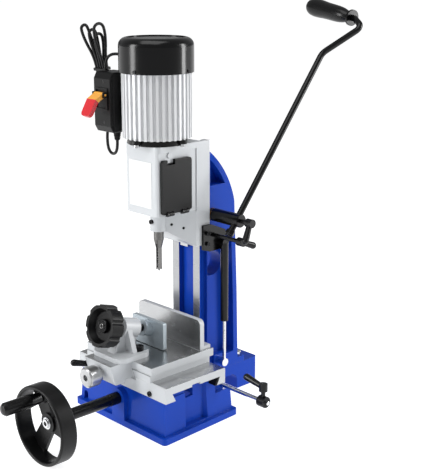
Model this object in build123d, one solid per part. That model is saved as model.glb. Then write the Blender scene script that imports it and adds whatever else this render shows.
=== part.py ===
from build123d import *
import math
import os

# A benchtop hollow-chisel mortiser. X runs to the operator's right, Y to the back and Z up.
# The origin is the centre of the four bench bolt bosses on the base's underside.

# Shared clearances
overrun = 1.0
way_gap = 0.15
shaft_gap = 0.06
side_gap = 0.3
slack = 0.3
bend_share = 0.45
straight_share = 0.9999
pressure_angle = 20.0

# Spindle line
spindle_y = 12.0

# Base casting
foot_front_half = 132.0
foot_back_half = 124.0
foot_front = -94.0
foot_back = 98.0
foot_height = 12.0
foot_corner = 7.0
rim_width = 8.0
wall_lean = 4.0
wall_top = 80.5
wall_thickness = 14.0
deck_thickness = 12.0
rear_deck = 55.0
rear_deck_front = 47.0
pocket_depth = 6.0
pocket_front = -33.0
pocket_back = 26.0
pocket_flare = 7.0
boss_radius = 18.0
boss_reach = 8.0
slot_width = 12.0
slot_height = 18.0
slot_place = 109.0
tongue_half = 38.0
tongue_front = 90.0
tongue_back = 240.0
arch_top = 34.0
arch_radius = 16.0
heel_front = 183.0
bench_spacing_x = 196.0
bench_spacing_y = 140.0
bench_hole_radius = 4.25
bench_boss_radius = 12.0
bearing_wall_half = 20.0
bearing_wall_front = 4.0
bearing_wall_depth = 12.0
bearing_wall_drop = 24.0

# Cross way on the base, and the saddle on it
way_top = 96.0
way_front = -76.0
way_back = 36.0
way_undercut = 8.0
way_half = 116.0
lip_gap = 0.5
saddle_left = -118.0
saddle_right = 134.0
saddle_front = -92.0
saddle_back = 54.0
saddle_top = 110.0
saddle_edge_break = 2.0
saddle_screw_radius = 5.0
saddle_screw_head = 3.0
saddle_screw_shares = (0.17, 0.5, 0.83)
gib_thickness = 5.0
rail_outer = 92.0
rail_top = 121.0
keel_half = 48.0
keel_undercut = 9.0
keel_depth = 18.0
cross_travel = 80.0

# Cross feed gears
module_size = 2.5
wheel_pinion_teeth = 20
wheel_axis_z = 52.5
cross_rack_y = -19.0
cross_rack_width = 20.0
cross_rack_count = 2 * math.ceil((cross_travel + cross_rack_width) / (math.pi * module_size))
cross_slot_margin = 3.0
pinion_margin = 1.0
shaft_radius = 8.0
bush_wall = 3.0
bush_flange = 2.0
bush_flange_height = 3.0
addendum_share = 0.9
dedendum_share = 1.25

# Handwheel
tube_radius = 11.0
tube_front = -240.0
tube_joint = 20.0
wheel_radius = 73.0
wheel_front = -272.0
wheel_width = 33.0
rim_thickness = 7.0
rim_round = 3.0
hub_radius = 18.0
hub_face = -251.0
spoke_half = 15.0
spoke_thickness = 7.0
spoke_count = 3
spoke_turn = 117.0
wheel_screw_radius = 8.0
wheel_screw_height = 3.0
washer_radius = 11.0
washer_thickness = 2.0
handle_offset_x = -13.0
handle_offset_z = 45.5
handle_radius = 12.0
handle_neck_radius = 9.0
handle_length = 79.0
handle_start = -254.0
handle_pin_radius = 5.0
handle_swell_share = 0.3
handle_bore_share = 0.8
handle_dome_share = 0.7

# Table
table_top = 136.0
table_half = 94.0
table_front = -90.0
table_back = 62.0
table_gib_thickness = 4.0
table_forward = 40.0
table_rearward = 12.0
strip_front = -9.0
strip_back = 33.0
strip_depth = 0.4
block_half = 38.0
block_front = -138.0
block_bottom = 98.0
block_slope = 11.0
fence_face = 34.0
fence_thickness = 10.0
fence_height = 58.0
fence_foot = 16.0
fence_rib = 6.0
fence_half = 88.0
fence_rib_count = 4
fence_screw_radius = 4.0
fence_screw_head = 7.0

# Feed screw along the table
feed_screw_radius = 6.0
feed_axis_z = 112.0
feed_knob_radius = 19.0
feed_knob_length = 22.0
feed_knob_neck = 13.0
feed_knob_front = -166.0
feed_socket_radius = 6.0
feed_socket_depth = 10.0
feed_nut_width = 24.0
feed_nut_length = 30.0
feed_nut_height = 19.0
feed_nut_middle = 0.0
feed_screw_back = 56.0
feed_tunnel_gap = 2.0

# Work clamp, on an axis that leans down towards the fence
clamp_tilt = 16.0
clamp_knob_y = -131.0
clamp_knob_z = 203.0
clamp_knob_radius = 39.0
clamp_knob_length = 25.0
clamp_knob_lobes = 8
clamp_lobe_radius = 5.5
clamp_dish_radius = 26.0
clamp_dish_depth = 13.0
clamp_neck_radius = 13.0
clamp_neck_length = 13.0
barrel_radius = 18.0
barrel_length = 36.0
barrel_start = 49.0
clamp_screw_radius = 7.0
clamp_screw_end = 108.0
plate_front = -18.0
plate_thickness = 8.0
plate_left = -44.0
plate_right = 44.0
plate_height = 52.0
plate_lift = 1.2
plate_corner = 3.0
plate_boss_radius = 15.0
plate_boss_length = 16.0
bracket_base_thickness = 9.0
bracket_half = 44.0
bracket_front = -121.0
bracket_back = -44.0
bracket_slot_half = 7.0
bracket_web_half = 10.0
bracket_bolt_radius = 5.0
bracket_bolt_head = 8.5
bracket_bolt_height = 9.0
bracket_bolt_x = 26.0
bracket_bolt_y = -62.0
bracket_socket = 4.0

# Column
column_half = 38.0
column_front = 80.0
column_foot_thickness = 12.0
column_foot_half = 58.0
column_foot_front = 66.0
column_foot_step = 96.0
column_foot_back = 202.0
column_back_low = 184.0
column_back_waist = 180.0
column_waist_z = 210.0
column_back_shoulder = 172.0
column_shoulder_z = 393.0
column_crown_y = 141.0
column_crown_z = 460.0
column_top_y = 93.0
column_top = 505.0
column_rim = 11.0
column_web_half = 15.0
upper_pocket_bottom = 430.0
upper_pocket_front = 108.0
boss_zone_bottom = 338.0
lower_pocket_bottom = 84.0
column_front_wall = 20.0
strip_width = 18.0
channel_depth = 10.0
flank_depth = 12.0
flank_undercut = 7.0
neck_back = 99.0
light_hole_y = 132.0
light_hole_z = 271.0
light_hole_radius = 26.0
column_bolt_radius = 5.0
column_bolt_flats = 16.0
column_bolt_head = 7.0
column_bolt_front_y = 82.0
column_bolt_front_x = 48.0
column_bolt_back_x = 24.0
bolt_thread_length = 20.0

# Lever pinion in the column
lever_axis_y = 112.0
lever_axis_z = 375.5
lever_pinion_teeth = 22
lever_pinion_width = 18.0
lever_shaft_radius = 10.0
lever_bush_wall = 2.0
lever_bush_reach = 8.0
shaft_collar_radius = 12.5
shaft_collar_length = 5.0

# Head casting
head_half = 46.0
head_front = -28.0
head_top = 519.0
head_floor = 392.0
head_tail_bottom = 322.0
head_plate_front = 64.0
head_corner = 10.0
head_wall = 10.0
head_travel = 66.0
chamber_back = 52.0
chamber_roof = 9.0
chamber_floor = 8.0
nose_radius = 16.0
nose_length = 37.0
nose_bottom = head_floor - nose_length
gusset_front = 16.0
head_rack_width = 20.0
head_rack_count = 16
panel_depth = 2.0
panel_back = 66.0
panel_front = -24.0
panel_top = 508.0
rating_left = -32.0
rating_right = 29.0
rating_bottom = 406.0
rating_top = 490.0
rating_thickness = 0.5

# Chuck door
door_front = -21.0
door_back = 50.0
door_bottom = 396.0
door_top = 495.0
door_thickness = 6.0
door_corner = 6.0
door_window_margin = 7.0
door_notch_half = 9.0
door_notch_depth = 9.0
door_notch_place = 22.0
door_pin_radius = 2.0
door_pin_inset = 0.5
door_lug_half = 4.0
door_lug_wall = 4.0
door_lug_width = 3.5
catch_radius = 5.0

# Motor
flange_radius = 54.5
flange_height = 11.0
flange_ear_radius = 8.0
flange_ear_reach = 58.0
flange_ear_turn = 10.0
flange_ear_count = 4
motor_top = 646.0
motor_radius = 63.0
fin_depth = 5.0
fin_count = 36
fin_share = 0.45
cover_radius = 67.5
cover_height = 61.0
cover_round = 15.0
cover_wall = 3.0
cover_screw_count = 4
cover_screw_turn = 15.0
cover_screw_radius = 3.0
cover_screw_head = 2.0
cover_disc_radius = 53.0
cover_disc_depth = 2.0
motor_shaft_radius = 8.0
motor_bore_gap = 3.0
bearing_radius = 20.0
bearing_height = 12.0
fan_radius = 50.0
fan_hub_radius = 14.0
fan_height = 22.0
fan_plate = 3.0
fan_blade = 3.0
fan_blade_count = 7
fan_lift = 8.0
rotor_radius = 34.0
rotor_length = 60.0

# Chuck, chisel and auger bit
chuck_radius = 17.0
chuck_top = 480.0
chuck_height = 46.0
chuck_nose_radius = 9.0
chuck_nose_height = 14.0
chuck_key_radius = 2.5
chuck_key_count = 3
shank_radius = 9.5
chisel_top_drop = 2.0
chisel_top = head_floor - chisel_top_drop
shank_reach = 17.0
shank_bottom = nose_bottom - shank_reach
chisel_neck_length = 16.0
chisel_neck_bottom = shank_bottom - chisel_neck_length
chisel_side = 8.0
chisel_square_length = 45.0
chisel_tip = chisel_neck_bottom - chisel_square_length
chisel_bore = 3.4
chisel_bevel = 2.4
window_width = 4.2
window_rise = 8.0
window_lift = 7.0
window_top = chisel_neck_bottom + window_rise
window_bottom = chisel_tip + window_lift
auger_radius = 3.1
auger_core = 1.3
auger_pitch = 11.0
auger_flute_rise = 14.0
auger_flute_top = chisel_neck_bottom + auger_flute_rise
auger_tip_drop = 1.5
auger_step_count = 8
nose_screw_radius = 4.0
nose_screw_head = 4.0

# Switch box, left of the motor
box_left = -116.0
box_right = -68.0
box_front = -34.0
box_back = 8.0
box_bottom = 532.0
box_top = 642.0
box_corner = 4.0
switch_plate_depth = 6.0
switch_plate_margin = 1.0
paddle_half = 13.0
paddle_red_length = 32.0
paddle_thickness = 8.0
paddle_hinge_z = 602.0
paddle_hinge_reach = 10.0
yellow_drop = 30.0
red_drop = 60.0
paddle_corner = 8.0
switch_plate_bevel = 11.0
switch_frame_half = 17.0
switch_frame_top = 614.0
switch_frame_bottom = 574.0
switch_frame_wall = 3.0
switch_frame_height = 2.0
paddle_pin_radius = 2.0
paddle_lug = 3.0
yellow_length = 19.0
bracket_arm_height = 30.0
bracket_arm_thickness = 4.0
bracket_arm_reach = 14.0

# Gas strut and its brackets
cord_radius = 2.8
cord_exit_x = -83.0
cord_exit_y = -14.0
relief_length = 20.0
relief_seat = 4.0
relief_radius = 6.5
relief_tip_radius = 4.2
loop_run = 16.6
cord_rise_y = -6.0
cord_rise_z = 530.0
cord_last_run = 18.0
lead_radius = 2.75
lead_run = 15.5
lead_start_x = -107.5
lead_start_y = -18.0
lead_last_run = 13.0
lead_entry_turn = 10.0
bushing_radius = 4.5
bushing_seat = 3.0
bushing_reach = 4.0
hank_waist_y = -6.0
hank_waist_z = 643.0
hank_lean = 12.0
hank_waist_half = 4.0
hank_first_x = -123.0
hank_layer_step = 7.0
hank_start_drop = 62.0
hank_end_across = 32.0
hank_end_bend = 48.0
hank_end_drop = 56.0
hank_top_heights = (84.0, 65.0, 74.0, 86.0)
hank_top_shifts = (2.6, 3.5, -4.0, -15.4)
hank_top_radii = (12.0, 9.0, 8.0, 7.5)
hank_fold_drops = (92.0, 95.0, 91.0)
hank_fold_radii = (11.0, 10.0, 9.0)
hank_sample = 1.0
tie_gap = 0.6
tie_thickness = 1.2
tie_width = 5.0
plug_radius = 14.0
plug_neck_radius = 5.0
plug_neck_length = 14.0
plug_flare_share = 1.2
plug_length = 36.0
plug_pin_radius = 2.4
plug_pin_length = 19.0
plug_pin_spacing = 19.0

strut_x = 60.0
strut_y = 124.0
strut_radius = 7.5
strut_top = 322.0
strut_bottom = 166.0
strut_wall = 1.5
strut_rod_radius = 3.5
strut_rod_bottom = 80.0
strut_piston_height = 10.0
strut_eye_radius = 8.0
strut_plate_front = 78.0
strut_plate_back = 136.0
strut_plate_bottom = 308.0
strut_plate_top = 360.0
strut_plate_thickness = 5.0
stud_radius = 4.0
strut_foot_height = 24.0
strut_foot_thickness = 6.0

# Pull lever
hub_inner = 46.3
hub_outer = 116.0
hub_outer_radius = 12.5
lever_rod_radius = 6.0
lever_rod_x = 104.0
lever_lean = 38.4
lever_tail = 31.0
lever_straight = 370.0
lever_jog_out = 62.0
lever_jog_along = 64.0
lever_bend_radius = 22.0
lever_top_along = 18.0
lever_top_in = 26.0
grip_lean_share = 0.2
collar_length = 9.0
collar_radius = 15.5
grip_length = 124.0
grip_radius = 16.5
grip_neck_radius = 9.0
grip_bore_gap = 0.3
grip_peak_share = 0.55
grip_rod_share = 0.8
tail_nut_flats = 15.0
tail_nut_height = 9.0

# Indexable clamp levers
hub_clamp_reach = 22.0
hub_clamp_arm = 34.0
hub_clamp_turn = 239.0
hub_clamp_depth = 5.0
lock_x = 124.0
lock_y = 104.0
lock_z = 339.0
lock_arm = 28.0
lock_turn = 338.0
clamp_head_radius = 8.0
clamp_head_length = 14.0
clamp_arm_start_radius = 5.0
clamp_arm_end_radius = 6.5
clamp_stud_radius = 4.0
clamp_arm_flare = 10.0
table_lock_arm = 34.0
table_lock_z = 114.0
table_lock_y = -121.0
table_lock_turn = 196.0
table_lock_depth = 19.0

# Stop rod
stop_rod_radius = 4.0
stop_rod_y = 67.0
stop_rod_z = 66.0
stop_rod_start = 84.0
stop_rod_end = 232.0
stop_lug_radius = 10.0
stop_lug_start = 88.0
stop_lug_length = 16.0
stop_collar_radius = 10.5
stop_collar_length = 18.0
stop_collar_x = 219.0
stop_stud_height = 16.0
stop_arm = 42.0
stop_turn = 180.0


def block(x0, x1, y0, y1, z0, z1):
    """A box between two opposite corners."""
    return Pos((x0 + x1) / 2, (y0 + y1) / 2, (z0 + z1) / 2) * Box(x1 - x0, y1 - y0, z1 - z0)


def round_x(y, z, radius, x0, x1):
    """A cylinder along X."""
    return Plane(origin=((x0 + x1) / 2, y, z), z_dir=(1, 0, 0)) * Cylinder(radius, x1 - x0)


def round_y(x, z, radius, y0, y1):
    """A cylinder along Y."""
    return Plane(origin=(x, (y0 + y1) / 2, z), z_dir=(0, 1, 0)) * Cylinder(radius, y1 - y0)


def round_z(x, y, radius, z0, z1):
    """A cylinder along Z."""
    return Pos(x, y, (z0 + z1) / 2) * Cylinder(radius, z1 - z0)


def outline(points):
    """A face inside a closed run of straight edges."""
    return make_face(Polyline(*points, close=True))


def prism_x(face, x0, x1):
    """A face drawn in Y and Z, carried along X."""
    return extrude(Plane.YZ.offset(x0) * face, x1 - x0)


def prism_y(face, y0, y1):
    """A face drawn in X and Z, carried along Y."""
    return extrude(Plane.XZ.offset(-y1) * face, y1 - y0)


def prism_z(face, z0, z1):
    """A face drawn in X and Y, carried along Z."""
    return extrude(Plane.XY.offset(z0) * face, z1 - z0)


def turned(points):
    """A solid of revolution about Z from an outline of radius and height."""
    return revolve(Plane.XZ * outline(points), Axis.Z)


def mirrored(shape):
    """The shape with its mirror image across the middle plane."""
    return shape + mirror(shape, Plane.YZ)


def ring_z(x, y, outer, inner, z0, z1):
    """A tube along Z."""
    return round_z(x, y, outer, z0, z1) - round_z(x, y, inner, z0 - overrun, z1 + overrun)


def pitch_radius(teeth):
    """Pitch radius of a pinion."""
    return teeth * module_size / 2


def gear_face(teeth):
    """Involute pinion outline with one tooth centred on the local X axis."""
    pitch_r = pitch_radius(teeth)
    base_r = pitch_r * math.cos(math.radians(pressure_angle))
    root_r = pitch_r - dedendum_share * module_size
    tip_r = pitch_r + addendum_share * module_size
    at_pitch = math.pi / (2 * teeth) - slack / (2 * pitch_r)

    def roll(radius):
        angle = math.acos(min(1, base_r / radius))
        return math.tan(angle) - angle

    def half_angle(radius):
        return at_pitch + roll(pitch_r) - roll(max(radius, base_r))

    radii = [root_r, base_r, (base_r + pitch_r) / 2, pitch_r, (pitch_r + tip_r) / 2, tip_r]
    points = []
    for index in range(teeth):
        centre = math.tau * index / teeth
        for radius in radii:
            turn = centre - half_angle(radius)
            points.append((radius * math.cos(turn), radius * math.sin(turn)))
        for radius in reversed(radii):
            turn = centre + half_angle(radius)
            points.append((radius * math.cos(turn), radius * math.sin(turn)))
    return outline(points)


def rack_face(count, back):
    """Straight rack outline, teeth along local +Y, with a space centred on the local origin."""
    pitch = math.pi * module_size
    lean = math.tan(math.radians(pressure_angle))
    tip = addendum_share * module_size
    root = dedendum_share * module_size
    at_pitch = pitch / 4 - slack / 2
    points = [(-count * pitch / 2, -back), (-count * pitch / 2, -root)]
    for index in range(count):
        centre = (index - count / 2 + 1 / 2) * pitch
        points.append((centre - at_pitch - root * lean, -root))
        points.append((centre - at_pitch + tip * lean, tip))
        points.append((centre + at_pitch - tip * lean, tip))
        points.append((centre + at_pitch + root * lean, -root))
    points.append((count * pitch / 2, -root))
    points.append((count * pitch / 2, -back))
    return outline(points)


def foot_face(inset):
    """Plan of the base, drawn in from the foot's edge."""
    front = foot_front_half - inset
    back = foot_back_half - inset
    y0 = foot_front + inset
    y1 = foot_back - inset
    return outline([(-front, y0), (front, y0), (back, y1), (-back, y1)])


def base_walls(inset, bottom, top):
    """The base's leaning walls as a solid between two heights."""
    lean_rate = wall_lean / (wall_top - foot_height)
    low = inset + (bottom - foot_height) * lean_rate
    high = inset + (top - foot_height) * lean_rate
    return loft([Plane.XY.offset(bottom) * foot_face(low), Plane.XY.offset(top) * foot_face(high)])


def side_pocket():
    """Shallow pocket in the right wall, with flared sides."""
    deep = foot_back_half - rim_width - pocket_depth
    wide = foot_front_half
    face = outline([
        (wide, pocket_front - pocket_flare),
        (wide, pocket_back + pocket_flare),
        (deep, pocket_back - pocket_flare),
        (deep, pocket_front + pocket_flare),
    ])
    return prism_z(face, foot_height + pocket_depth / 2, way_top + overrun)


def front_boss():
    """Round-topped pad on the front wall where the feed shaft comes out."""
    start = foot_front + rim_width
    arch = prism_y(Circle(boss_radius), start - boss_reach, start + wall_thickness)
    leg = block(-boss_radius, boss_radius, start - boss_reach, start + wall_thickness, 0, wheel_axis_z)
    return Pos(0, 0, wheel_axis_z) * arch + leg


def cross_way():
    """Dovetail way for the saddle."""
    face = outline([
        (way_front + way_undercut, wall_top - deck_thickness),
        (way_front + way_undercut, wall_top),
        (way_front, way_top),
        (way_back, way_top),
        (way_back - way_undercut, wall_top),
        (way_back - way_undercut, wall_top - deck_thickness),
    ])
    return prism_x(face, -way_half, way_half)


def rear_tongue():
    """Narrow tail of the base that carries the column, with an arch under it and a heel."""
    tail = block(-tongue_half, tongue_half, tongue_front, tongue_back, 0, rear_deck)
    middle = (foot_back + heel_front) / 2
    arch = RectangleRounded(heel_front - foot_back, 2 * arch_top, arch_radius)
    cut = prism_x(Pos(middle, 0) * arch, -tongue_half - overrun, tongue_half + overrun)
    tail = fillet(tail.edges().filter_by(Axis.Z).group_by(Axis.Y)[-1], foot_corner)
    hollow = block(
        wall_thickness - tongue_half, tongue_half - wall_thickness,
        heel_front + wall_thickness, tongue_back - wall_thickness,
        -overrun, rear_deck - deck_thickness,
    )
    return tail - cut - hollow


def bench_places():
    """The four bench bolt centres."""
    half_x = bench_spacing_x / 2
    half_y = bench_spacing_y / 2
    return [(-half_x, -half_y), (half_x, -half_y), (-half_x, half_y), (half_x, half_y)]


def base_casting():
    """The blue base: leaning walls on a foot rim, open below, with the cross way on top."""
    body = prism_z(foot_face(0), 0, foot_height)
    body = fillet(body.edges().filter_by(Axis.Z), foot_corner)
    body = body + base_walls(rim_width, foot_height, wall_top)
    body = body - block(
        -foot_front_half, foot_front_half, rear_deck_front, foot_back + overrun,
        rear_deck, wall_top + overrun,
    )
    body = body + cross_way()
    body = body + front_boss()
    body = body - mirrored(side_pocket())
    inset = rim_width + wall_thickness
    cavity = base_walls(inset, -overrun, rear_deck - deck_thickness)
    upper = base_walls(inset, rear_deck - deck_thickness, wall_top - deck_thickness)
    behind = block(
        -foot_front_half, foot_front_half, rear_deck_front - wall_thickness, foot_back,
        rear_deck - deck_thickness, wall_top,
    )
    body = body - cavity - (upper - behind)
    slot_front = cross_rack_y - cross_rack_width / 2 - cross_slot_margin
    slot_back = cross_rack_y + cross_rack_width / 2 + cross_slot_margin
    slot_floor = wall_top - deck_thickness - cross_slot_margin
    body = body - block(
        -foot_front_half, foot_front_half, slot_front, slot_back, slot_floor, way_top + overrun
    )
    wall_back = bearing_wall_front + bearing_wall_depth
    body = body + block(
        -bearing_wall_half, bearing_wall_half, bearing_wall_front, wall_back,
        wheel_axis_z - bearing_wall_drop, wall_top,
    )
    body = body + rear_tongue()
    for x, y in bench_places():
        body = body + round_z(x, y, bench_boss_radius, 0, rear_deck - deck_thickness)
    for x, y in bench_places():
        body = body - round_z(x, y, bench_hole_radius, -overrun, rear_deck - deck_thickness - foot_height)
    bush_radius = shaft_radius + bush_wall
    body = body - round_y(0, wheel_axis_z, bush_radius, foot_front - boss_reach, wall_back + overrun)
    body = body + stop_lug()
    body = body - round_x(stop_rod_y, stop_rod_z, stop_rod_radius, stop_rod_start, foot_front_half)
    arch = Pos(-slot_place, foot_height) * SlotOverall(2 * slot_height, slot_width, rotation=90)
    cut = prism_y(arch, foot_front, foot_front + rim_width + wall_thickness + overrun)
    cut = cut - block(-foot_front_half, 0, foot_front, 0, 0, foot_height)
    body = body - cut
    for x, y in column_bolt_places():
        body = body - round_z(x, y, column_bolt_radius, rear_deck - bolt_thread_length, rear_deck + overrun)
    return body


def stop_lug():
    """Lug on the rear deck that holds the stop rod."""
    end = stop_lug_start + stop_lug_length
    top = round_x(stop_rod_y, stop_rod_z, stop_lug_radius, stop_lug_start, end)
    foot = block(
        stop_lug_start, end, stop_rod_y - stop_lug_radius, stop_rod_y + stop_lug_radius,
        rear_deck - deck_thickness / 2, stop_rod_z,
    )
    return top + foot


def feed_bushes():
    """Two flanged bushes for the feed shaft, in the front boss and the inner wall."""
    outer = shaft_radius + bush_wall
    inner = shaft_radius + shaft_gap
    flange = outer + bush_flange_height
    front = foot_front + rim_width - boss_reach
    front_end = foot_front + rim_width + wall_thickness + wall_lean
    back = bearing_wall_front
    back_end = bearing_wall_front + bearing_wall_depth
    shape = round_y(0, wheel_axis_z, outer, front, front_end)
    shape = shape + round_y(0, wheel_axis_z, flange, front_end, front_end + bush_flange)
    shape = shape + round_y(0, wheel_axis_z, outer, back, back_end)
    shape = shape + round_y(0, wheel_axis_z, flange, back_end, back_end + bush_flange)
    return shape - round_y(0, wheel_axis_z, inner, front - overrun, back_end + bush_flange + overrun)


def column_bolt_places():
    """Centres of the column's four foot bolts."""
    back_y = (column_back_low + column_foot_back) / 2 + overrun
    return [
        (-column_bolt_front_x, column_bolt_front_y),
        (column_bolt_front_x, column_bolt_front_y),
        (-column_bolt_back_x, back_y),
        (column_bolt_back_x, back_y),
    ]


def column_bolts():
    """Hex head bolts through the column's foot into the base."""
    seat = rear_deck + column_foot_thickness
    head = RegularPolygon(column_bolt_flats / 2, 6, major_radius=False)
    solids = []
    for x, y in column_bolt_places():
        bolt = prism_z(Pos(x, y) * head, seat, seat + column_bolt_head)
        bolt = bolt + round_z(x, y, column_bolt_radius, rear_deck - bolt_thread_length, seat)
        solids.append(bolt)
    return gathered(solids)


def gathered(solids):
    """Several separate solids as one shape."""
    return Compound(children=[solid for shape in solids for solid in shape.solids()])


def column_side():
    """Side outline of the column: straight front, waisted back and a round crown."""
    base_z = rear_deck
    front = Line((column_front, base_z), (column_front, column_top))
    top = Line((column_front, column_top), (column_top_y, column_top))
    crown = ThreePointArc(
        (column_top_y, column_top), (column_crown_y, column_crown_z),
        (column_back_shoulder, column_shoulder_z),
    )
    shoulder = Line((column_back_shoulder, column_shoulder_z), (column_back_waist, column_waist_z))
    waist = Line((column_back_waist, column_waist_z), (column_back_low, base_z))
    bottom = Line((column_back_low, base_z), (column_front, base_z))
    return make_face([front, top, crown, shoulder, waist, bottom])


def band(y0, y1, z0, z1):
    """A rectangle in Y and Z."""
    return Pos((y0 + y1) / 2, (z0 + z1) / 2) * Rectangle(y1 - y0, z1 - z0)


def column_pockets():
    """The two pockets in the column's right side, above and below the lever boss."""
    inner = offset(column_side(), -column_rim)
    upper = inner & band(upper_pocket_front, column_back_low, upper_pocket_bottom, column_top)
    lower = inner & band(
        column_front + column_front_wall, column_back_low, lower_pocket_bottom, boss_zone_bottom
    )
    lower = fillet(lower.vertices(), column_rim / 2)
    cut = prism_x(upper, column_web_half, column_half + overrun)
    return cut + prism_x(lower, column_web_half, column_half + overrun)


def column_flank():
    """Dovetail undercut behind the right-hand strip."""
    face = outline([
        (column_half, column_front),
        (column_half - flank_undercut, column_front + flank_depth),
        (column_half - flank_undercut, neck_back),
        (column_half + overrun, neck_back),
        (column_half + overrun, column_front),
    ])
    return prism_z(face, rear_deck + column_foot_thickness, column_top + overrun)


def strut_lug():
    """Flat lug on the column's right side for the strut's lower eye."""
    half = strut_foot_height / 2
    return block(
        column_half - overrun, column_half + strut_foot_thickness, strut_y - half, strut_y + half,
        strut_rod_bottom - half, strut_rod_bottom + half,
    )


def column_casting():
    """The blue column: front ways with a channel, webbed sides, lever boss and foot."""
    body = prism_x(column_side(), -column_half, column_half)
    foot = block(
        -column_foot_half, column_foot_half, column_foot_front, column_foot_step,
        rear_deck, rear_deck + column_foot_thickness,
    )
    heel = block(
        -column_half, column_half, column_foot_front, column_foot_back,
        rear_deck, rear_deck + column_foot_thickness,
    )
    body = body + foot + heel
    body = body - mirrored(column_pockets()) - mirrored(column_flank())
    channel = column_half - strip_width
    body = body - block(
        -channel, channel, column_front - overrun, column_front + channel_depth,
        rear_deck + column_foot_thickness, column_top + overrun,
    )
    web = column_web_half + overrun
    body = body - round_x(light_hole_y, light_hole_z, light_hole_radius, -web, web)
    body = body + strut_lug()
    clear = pitch_radius(lever_pinion_teeth) + module_size + pinion_margin
    half = lever_pinion_width / 2 + pinion_margin
    body = body - round_x(lever_axis_y, lever_axis_z, clear, -half, half)
    reach = column_half + overrun
    bush_radius = lever_shaft_radius + lever_bush_wall
    body = body - round_x(lever_axis_y, lever_axis_z, bush_radius, -reach, reach)
    for x, y in column_bolt_places():
        body = body - round_z(x, y, column_bolt_radius, rear_deck - overrun, rear_deck + bolt_thread_length)
    return body


def bronze_bushes():
    """Bushes of the feed shaft in the base, and of the lever shaft in the column's two sides."""
    outer = lever_shaft_radius + lever_bush_wall
    inner = lever_shaft_radius + shaft_gap
    start = lever_pinion_width / 2 + pinion_margin
    end = column_half + lever_bush_reach
    right = round_x(lever_axis_y, lever_axis_z, outer, start, end)
    right = right - round_x(lever_axis_y, lever_axis_z, inner, start - overrun, end + overrun)
    return gathered([feed_bushes(), right, mirror(right, Plane.YZ)])


def way_edge(z):
    """Y of the cross way's back flank at one height."""
    return way_back - way_undercut * (way_top - z) / (way_top - wall_top)


def saddle():
    """Cross slide: front lip, dovetail underside, and the rails that guide the table."""
    under = way_top + way_gap
    body = block(saddle_left, saddle_right, saddle_front, saddle_back, wall_top + lip_gap, saddle_top)
    body = chamfer(body.edges().filter_by(Axis.X).group_by(Axis.Z)[-1], saddle_edge_break)
    rails = block(-rail_outer, rail_outer, saddle_front, saddle_back, saddle_top - overrun, rail_top)
    body = body + rails
    low = wall_top - overrun
    back_lip = saddle_back + overrun
    cut = outline([
        (way_front + way_undercut - way_gap, low),
        (way_front + way_undercut - way_gap, wall_top),
        (way_front - way_gap, under),
        (way_back + gib_thickness, under),
        (way_back - way_undercut + gib_thickness, wall_top),
        (way_back - way_undercut + gib_thickness, low),
    ])
    body = body - prism_x(cut, saddle_left - overrun, saddle_right + overrun)
    keel = outline([
        (-keel_half + keel_undercut - way_gap, rail_top + overrun),
        (-keel_half + keel_undercut - way_gap, rail_top),
        (-keel_half - way_gap, rail_top - keel_depth),
        (keel_half + table_gib_thickness, rail_top - keel_depth),
        (keel_half - keel_undercut + table_gib_thickness, rail_top),
        (keel_half - keel_undercut + table_gib_thickness, rail_top + overrun),
    ])
    body = body - prism_y(keel, saddle_front - overrun, saddle_back + overrun)
    rack_half = cross_rack_width / 2
    body = body - block(
        saddle_left - overrun, saddle_right + overrun, cross_rack_y - rack_half,
        cross_rack_y + rack_half, under - overrun, under + rack_seat_depth(),
    )
    return body


def rack_seat_depth():
    """Depth of the rack's seat in the saddle's underside."""
    return saddle_edge_break * 2


def cross_rack():
    """Rack under the saddle, teeth down."""
    pitch_z = wheel_axis_z + pitch_radius(wheel_pinion_teeth)
    back = way_top + way_gap + rack_seat_depth() - pitch_z
    plane = Plane(
        origin=(0, cross_rack_y - cross_rack_width / 2, pitch_z), x_dir=(1, 0, 0), z_dir=(0, 1, 0)
    )
    return extrude(plane * rack_face(cross_rack_count, back), cross_rack_width)


def saddle_gib():
    """Black gib strip between the saddle's back lip and the way, and the screws in its front lip."""
    thick = gib_thickness - way_gap
    under = way_top + way_gap
    low = wall_top + lip_gap
    face = outline([
        (way_edge(low) + way_gap, low), (way_edge(under) + way_gap, under),
        (way_edge(under) + thick, under), (way_edge(low) + thick, low),
    ])
    return gathered([prism_x(face, saddle_left, saddle_right)] + saddle_screws())


def saddle_screws():
    """The black socket screws in the saddle's front lip."""
    solids = []
    for share in saddle_screw_shares:
        x = saddle_left + share * (saddle_right - saddle_left)
        z = (wall_top + lip_gap + way_top) / 2
        head = round_y(x, z, saddle_screw_radius, saddle_front - saddle_screw_head, saddle_front)
        socket = round_y(
            x, z, saddle_screw_radius / 2, saddle_front - saddle_screw_head - overrun,
            saddle_front - saddle_screw_head / 2,
        )
        solids.append(head - socket)
    return solids


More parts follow.
